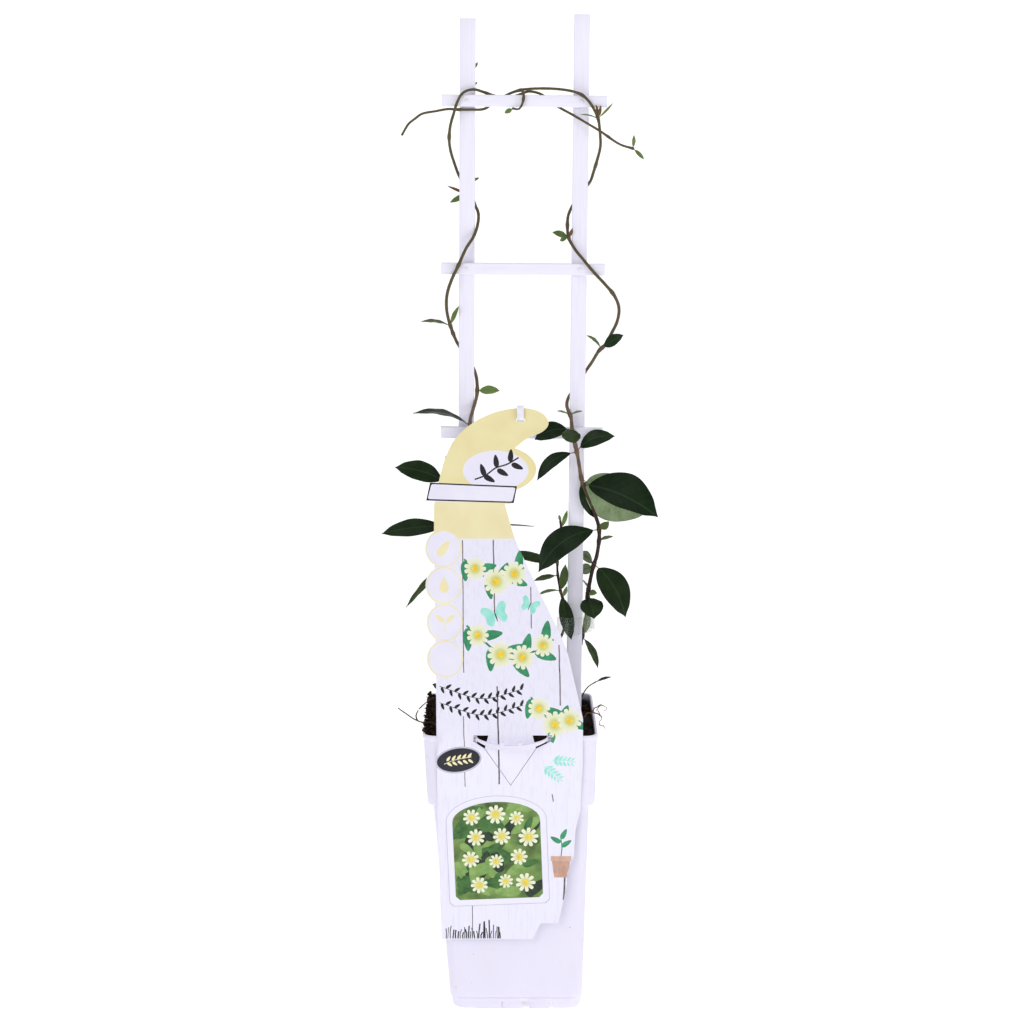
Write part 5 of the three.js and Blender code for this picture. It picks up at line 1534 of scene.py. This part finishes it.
def disc_prints():
    """Pale yellow rings, three with a small figure: a leaf, a drop and a pair of seed leaves."""
    ink = "pale_yellow"
    rings = []
    for place in TAG_DISC_PLACES:
        rings += [Print(ink, circle(place, 13.3)), Print("paper", circle(place, 12.4))]
    first, second, third, _ = TAG_DISC_PLACES
    drop = [(0, 6), (-1.8, 2.4), (-3.6, -1), (-2.6, -4.4), (0, -5.6), (2.6, -4.4), (3.6, -1), (1.8, 2.4)]
    return [
        *rings,
        leaf_print(ink, first, 14, 0.9),
        Print(ink, turned(smooth(drop, True), second, 0)),
        Print(ink, ribbon(turned([(0, -7), (0, -3), (0, 1)], third, 0), 0.9)),
        *leaf_pairs(ink, third, math.pi / 2, 3, 0, -4, [8], -0.9),
    ]


def swag(start, low, end, leaf_size, flowers):
    """A string that hangs between two points, with leaves on both sides and daisies along it."""
    ink = "leaf_green" if flowers else "charcoal"
    line = smooth([start, low, end], per_span=20)
    prints = [Print(ink, ribbon(line, 0.09 * leaf_size))]
    count = len(line) - 1
    spacing = max(1, round(leaf_size * 0.5 * count / math.dist(start, end)))
    for i in range(1, count, spacing):
        along = Vector(line[i + 1]) - Vector(line[i])
        heading = math.atan2(along.y, along.x)
        side = 1 if i // spacing % 2 else -1
        place = turned([(0.3 * leaf_size, side * 0.42 * leaf_size)], line[i], heading)[0]
        prints.append(leaf_print(ink, place, leaf_size, heading + side * 0.9))
    for k in range(flowers):
        i = round(count * (k + 0.5) / flowers)
        prints += daisy(line[i], 8.6 + (k * 5) % 3 * 0.8, 0.4 * k)
    return prints


def garden_prints():
    """Swags of daisies and of twigs across the tag, butterflies, fronds and a potted seedling."""
    swags = [
        ((-36, 350), (-12, 334), (9, 344), 15, 3), ((-34, 302), (0, 278), (31, 292), 17, 4),
        ((-54, 258), (-22, 249), (8, 256), 5, 0), ((-54, 246), (-22, 237), (8, 244), 5, 0),
        ((14, 250), (32, 230), (49, 236), 15, 3),
    ]
    prints = [item for line in swags for item in swag(*line)]
    prints += butterfly((-12, 309), 1.0, 0.35) + butterfly((13, 316), 0.7, -0.4)
    return prints + mint_frond((24, 198), -0.7) + mint_frond((30, 203), -0.1) + seedling_pot((37, 110))


def butterfly(centre, size, turn):
    prints = []
    wing = [(0.4, 1), (3, 6.5), (8, 9), (10, 6), (7.5, 1.2), (8, -3.6), (4.6, -6.5), (1.2, -2)]
    for side in (1, -1):
        outline = [(side * x, z) for x, z in smooth(wing, True)]
        prints.append(Print("mint", turned(outline, centre, turn, size), centre, 10 * size, turn))
    return [*prints, Print("charcoal", turned(ellipse((0, 0), 0.45, 4.5, 12), centre, turn, size))]


def seedling_pot(foot):
    body = [(-5.2, 0), (5.2, 0), (7, 14), (-7, 14)]
    rim = [(-7.8, 13), (7.8, 13), (7.8, 17), (-7.8, 17)]
    stem = ribbon(smooth([(0, 17), (0.6, 24), (-0.4, 32)]), 0.8)
    leaves = [(4, 27, 0.6), (-4.2, 30, 2.6), (2, 34.5, 1.1)]
    return [
        Print("terracotta", turned(body, foot, 0), foot, 8, 0),
        Print("terracotta_rim", turned(rim, foot, 0), foot, 8, 0),
        Print("leaf_green", turned(stem, foot, 0)),
        *[leaf_print("leaf_green", (foot[0] + x, foot[1] + z), 9, turn) for x, z, turn in leaves],
    ]


def mint_frond(foot, turn):
    stem = Print("mint", ribbon(turned([(0, 0), (9, 0.6), (18, 0)], foot, turn), 0.6))
    sizes = [5.4 - 0.5 * k for k in range(5)]
    return [stem, *leaf_pairs("mint", foot, turn, 3.5, 3, 2.2, sizes, 0.9)]


def plate_prints():
    """A dark oval plate with a pale rim and a small sprig."""
    centre, turn = (-40, 203), 0.16
    stem = smooth(turned([(-11, -1.5), (-3, 0.5), (10, 1)], centre, turn))
    return [
        Print("outline_grey", ellipse(centre, 17.5, 10.4, 36, turn)),
        Print("slate", ellipse(centre, 16.2, 9.1, 36, turn)),
        Print("block_cream", ribbon(stem, 0.5)),
        *leaf_pairs("block_cream", centre, turn, -7, 4, 2.3, [4.6] * 5, 0.8),
    ]


PICTURE_CENTRE = (-11, 133)
PICTURE_TILT = 0.04


def picture_outline(margin):
    """A window with an arched top, drawn in by a margin."""
    half = 38 - margin
    angles = [math.pi * i / 16 for i in range(17)]
    arch = [(half * math.cos(angle), 22 + (20 - margin) * math.sin(angle)) for angle in angles]
    foot = [(-half, -42 + margin), (-half + 3, -45 + margin)]
    foot += [(-x, z) for x, z in reversed(foot)]
    return turned(arch + foot, PICTURE_CENTRE, PICTURE_TILT)


def on_picture(x, z):
    return turned([(x, z)], PICTURE_CENTRE, PICTURE_TILT)[0]


def picture_prints():
    """A framed picture of layered leaves with small daisies between them."""
    rng = random.Random(8)
    prints = [
        Print("outline_grey", picture_outline(0)),
        Print("paper", picture_outline(0.5)),
        Print("picture_green", picture_outline(5)),
    ]
    for _ in range(60):
        x, z = rng.uniform(-29, 29), rng.uniform(-36, 34)
        if z > 24 and abs(x) > 20:
            continue
        ink = rng.choice(("picture_leaf", "picture_light", "picture_dark"))
        prints.append(leaf_print(ink, on_picture(x, z), rng.uniform(12, 22), rng.uniform(0, 6)))
    for row in range(4):
        for column in range(3):
            x = -20 + 18 * column + 6 * (row % 2) + rng.uniform(-2, 2)
            z = 24 - 17 * row + rng.uniform(-3, 3)
            prints += daisy(on_picture(x, z), rng.uniform(5.5, 8), rng.uniform(0, 6), 9)
    return prints + frame_over()


def frame_over():
    """The picture's frame again, as pieces over whatever the picture spills onto it."""
    rims = list(zip(picture_outline(0.5), picture_outline(5)))
    pieces = []
    for (outer, inner), (next_outer, next_inner) in zip(rims, rims[1:] + rims[:1]):
        pieces.append(Print("paper", [outer, next_outer, next_inner, inner]))
    return pieces


def foot_prints():
    """Dark grass blades along the lower edge."""
    rng = random.Random(4)
    prints = []
    x = -50.0
    while x < -8:
        width = rng.choice((0.5, 0.7, 1.0, 1.3))
        top = rng.uniform(66, 76)
        middle = (x + rng.uniform(-0.4, 0.4), (61 + top) / 2)
        line = [(x, 61), middle, (x + rng.uniform(-1.2, 1.2), top)]
        prints.append(Print("charcoal", ribbon(line, width)))
        x += rng.uniform(1.1, 2.2)
    return prints


def printed_triangles(prints, sheet_prints):
    """The sheet cut into triangles, each with the print on top of it; the first prints are the sheet."""
    points, outlines = [], []
    for item in prints:
        outline = [Vector(point) for point in item.outline]
        area = sum(a.x * b.y - b.x * a.y for a, b in zip(outline, outline[1:] + outline[:1]))
        if area < 0:
            outline.reverse()
        outlines.append(list(range(len(points), len(points) + len(outline))))
        points += outline
    spacing = 5.0
    for i in range(-13, 12):
        points += [Vector((i * spacing + 0.37, k * spacing + 0.29)) for k in range(12, 93)]
    corners, _, faces, _, _, owners = delaunay_2d_cdt(points, [], outlines, 1, 1e-4, True)
    triangles = []
    for face, owner in zip(faces, owners):
        if owner and min(owner) < sheet_prints and prints[max(owner)].ink != CUT:
            triangles.append((face, prints[max(owner)]))
    return corners, triangles


def tag_depth_table():
    line = spline(TAG_LINE, per_span=20)
    return [(point.y, point.x, along) for point, along in zip(line, tangents(line))]


def tag_surface(table, x, z, offset):
    """A point of the tag, a distance in front of its middle surface."""
    for (high, y_high, along), (low, y_low, _) in zip(table, table[1:]):
        if low <= z <= high:
            y = lerp(y_high, y_low, (high - z) / (high - low))
            out = Vector((0, along.y, -along.x))
            return Vector((x, y + tie_pinch(x, z), z)) + out * offset
    raise ValueError(f"the tag has no surface at height {z}")


def tie_pinch(x, z):
    """The tie pulls the sheet back where it bends over its top edge."""
    aside = abs(x - TIE_X)
    return 1.1 * math.exp(-((aside / 8) ** 2)) * smoothstep(z, 446, 460)


def make_tag():
    sheet = tag_sheet()
    prints = sheet + header_prints() + plank_gaps() + disc_prints() + garden_prints()
    prints += plate_prints() + picture_prints() + foot_prints() + tag_cuts()
    corners, triangles = printed_triangles(prints, len(sheet))
    inks = tag_inks()
    names = list(inks)
    table = tag_depth_table()
    front = [tag_surface(table, x, z, TAG_THICKNESS / 2) for x, z in corners]
    back = [tag_surface(table, x, z, -TAG_THICKNESS / 2) for x, z in corners]
    shape = Shape()
    add_tag_front(shape, front, corners, triangles, names)
    add_tag_back(shape, front, back, [face for face, _ in triangles], names.index("paper"))
    add_piece("label", shape, list(inks.values()), 40)


def add_tag_front(shape, front, corners, triangles, names):
    """The printed side, where each corner has a place on the print that it belongs to."""
    used = {}
    for face, item in triangles:
        for corner in face:
            key = (corner, item.centre, item.turn)
            if key not in used:
                used[key] = len(used)
                shape.add([front[corner]], [], places=[place_on(item, corners[corner])])
        shape.faces.append([used[(corner, item.centre, item.turn)] for corner in face])
        shape.looks.append(names.index(item.ink))


def place_on(item, corner):
    """Where a corner lies on its print, in the print's own size and turn."""
    away = (corner - Vector(item.centre)) / item.radius
    return tuple(Matrix.Rotation(-item.turn, 2) @ away)


def add_tag_back(shape, front, back, faces, ink):
    """The plain back, and the sheet's edge."""
    base = len(shape.points)
    rim = base + len(back)
    shape.add(back + front, [[c, b, a] for a, b, c in faces], ink)
    edges = dict.fromkeys(pair for a, b, c in faces for pair in ((a, b), (b, c), (c, a)))
    for start, end in edges:
        if (end, start) not in edges:
            shape.faces.append([rim + end, rim + start, base + start, base + end])
            shape.looks.append(ink)


# ---- The tag's inks ----


def printed_film(name):
    return Finish(name, roughness=FILM_ROUGHNESS, specular_ior_level=FILM_SPECULAR)


def plank_ink():
    finish = printed_film("planks")
    grain = finish.noise(1.7, 5, 0.6, stretch=(1, 1, 16))
    colour = finish.ramp(grain, [(0.34, (0.815, 0.80, 0.93)), (0.5, (0.875, 0.86, 0.98))])
    return finish.use(base_color=colour)


def petal_ink():
    """Cream petals that turn yellow-green towards the eye."""
    finish = printed_film("petal")
    x, y = finish.place()
    reach = finish.plus(finish.times(x, x), finish.times(y, y))
    stops = [(0.05, (0.62, 0.66, 0.22)), (0.3, (0.84, 0.85, 0.56)), (0.9, (0.90, 0.90, 0.74))]
    return finish.use(base_color=finish.ramp(reach, stops))


def leaf_ink(name, dark, light):
    finish = printed_film(name)
    _, y = finish.place()
    rib = finish.between(finish.calc("ABSOLUTE", y), 0.02, 0.05, 0.5, 0)
    base = finish.fade(finish.noise(5, 3), dark, light)
    return finish.use(base_color=finish.mix(rib, base, light))


CLOUDY_INKS = {  # darker and lighter tone
    "paper": ((0.85, 0.83, 0.96), (0.90, 0.88, 0.99)),
    "hook_yellow": ((0.85, 0.75, 0.39), (0.90, 0.815, 0.46)),
    "block_cream": ((0.87, 0.78, 0.45), (0.92, 0.84, 0.52)),
    "pale_yellow": ((0.90, 0.81, 0.46), (0.94, 0.86, 0.52)),
    "charcoal": ((0.012, 0.009, 0.014), (0.03, 0.024, 0.032)),
    "slate": ((0.010, 0.011, 0.016), (0.022, 0.024, 0.032)),
    "outline_grey": ((0.50, 0.49, 0.62), (0.60, 0.59, 0.72)),
}
PATCHY_INKS = {  # size of the patches, darker and lighter tone
    "gap": (3, (0.05, 0.03, 0.035), (0.22, 0.17, 0.19)),
    "eye": (3, (0.86, 0.52, 0.03), (0.95, 0.78, 0.10)),
    "mint": (6, (0.26, 0.74, 0.62), (0.45, 0.88, 0.78)),
    "terracotta": (5, (0.52, 0.30, 0.22), (0.66, 0.42, 0.33)),
    "terracotta_rim": (5, (0.60, 0.36, 0.27), (0.72, 0.48, 0.38)),
    "picture_green": (16, (0.035, 0.07, 0.018), (0.24, 0.40, 0.10)),
}
LEAF_INKS = {  # darker and lighter tone
    "leaf_green": ((0.03, 0.22, 0.10), (0.06, 0.36, 0.17)),
    "picture_leaf": ((0.025, 0.09, 0.02), (0.07, 0.20, 0.045)),
    "picture_light": ((0.16, 0.32, 0.07), (0.30, 0.46, 0.14)),
    "picture_dark": ((0.008, 0.02, 0.010), (0.03, 0.06, 0.03)),
}


def tag_inks():
    """Every ink on the tag, by name."""
    inks = {"planks": plank_ink(), "petal": petal_ink()}
    for name, tones in CLOUDY_INKS.items():
        inks[name] = two_tone(name, 18, 3, *tones)
    for name, (size, *tones) in PATCHY_INKS.items():
        inks[name] = two_tone(name, size, 3, *tones)
    for name, tones in LEAF_INKS.items():
        inks[name] = leaf_ink(name, *tones)
    return inks


# ---- The stage; lights and camera are placed in metres ----

LIT_POINT = Vector((0, 0, 0.35))


def make_stage():
    """A white floor that curves up behind."""
    width, front, back, bend, top = 9000, -5000, 3200, 900, 5200
    angles = [math.pi / 2 * share for share in steps(12)]
    curve = [(back - bend + bend * math.sin(a), bend - bend * math.cos(a)) for a in angles]
    profile = [(front, 0), *curve, (back, top)]
    points = [Vector((side * width / 2, y, z)) for y, z in profile for side in (-1, 1)]
    faces = [[2 * i, 2 * i + 1, 2 * i + 3, 2 * i + 2] for i in range(len(profile) - 1)]
    shape = Shape()
    shape.add(points, faces)
    floor = make_object("studio_floor", shape, 80)
    floor.data.materials.append(studio_white())


def studio_white():
    white = Finish("studio_white", roughness=0.9, specular_ior_level=0.0, emission_strength=0.45)
    white.use(emission_color=(1, 1, 1, 1))
    return white.use(base_color=white.fade(white.noise(400, 2), (0.93, 0.93, 0.93), (0.95, 0.95, 0.95)))


def soft_light(name, place, size, power):
    """A square area light that looks at the middle of the plant."""
    light = bpy.data.lights.new(name, "AREA")
    light.size = size
    light.energy = power
    obj = link_object(name, light)
    obj.location = Vector(place)
    obj.rotation_euler = (LIT_POINT - obj.location).to_track_quat("-Z", "Y").to_euler()


def make_lights():
    soft_light("key_light", (-1.5, -2.0, 1.7), 1.4, 17.5)
    soft_light("fill_light", (1.5, -2.0, 0.9), 1.6, 4)
    soft_light("side_light", (2.1, -1.0, 0.5), 0.3, 9)
    soft_light("top_light", (0.1, -0.3, 2.4), 1.6, 6)
    world = bpy.data.worlds.new("studio")
    world.use_nodes = True
    background = world.node_tree.nodes["Background"]
    background.inputs["Color"].default_value = (0.95, 0.95, 1, 1)
    background.inputs["Strength"].default_value = 0.4
    bpy.context.scene.world = world


def make_camera():
    """A long lens in front, which looks down by nine and a half degrees."""
    camera = bpy.data.cameras.new("camera")
    camera.lens = 75
    camera.sensor_width = 36
    obj = link_object("camera", camera)
    obj.location = (0, -1.6057, 0.6482)
    obj.rotation_euler = (math.radians(80.5), 0, 0)
    bpy.context.scene.camera = obj


make_camera()
make_stage()
make_lights()
bpy.context.scene.view_settings.view_transform = "Standard"
make_plant()
make_pot()
make_soil()
fine_stems("twig", [*TWIG_ROUTES, ROOT_ARC_ROUTE], dry_wood())
fine_stems("rootlets", ROOTLET_ROUTES, root_fibre(), 1.6, ROOT_TANGLE_ROUTES)
make_ladder()
make_tag()
make_tie()
make_tape()
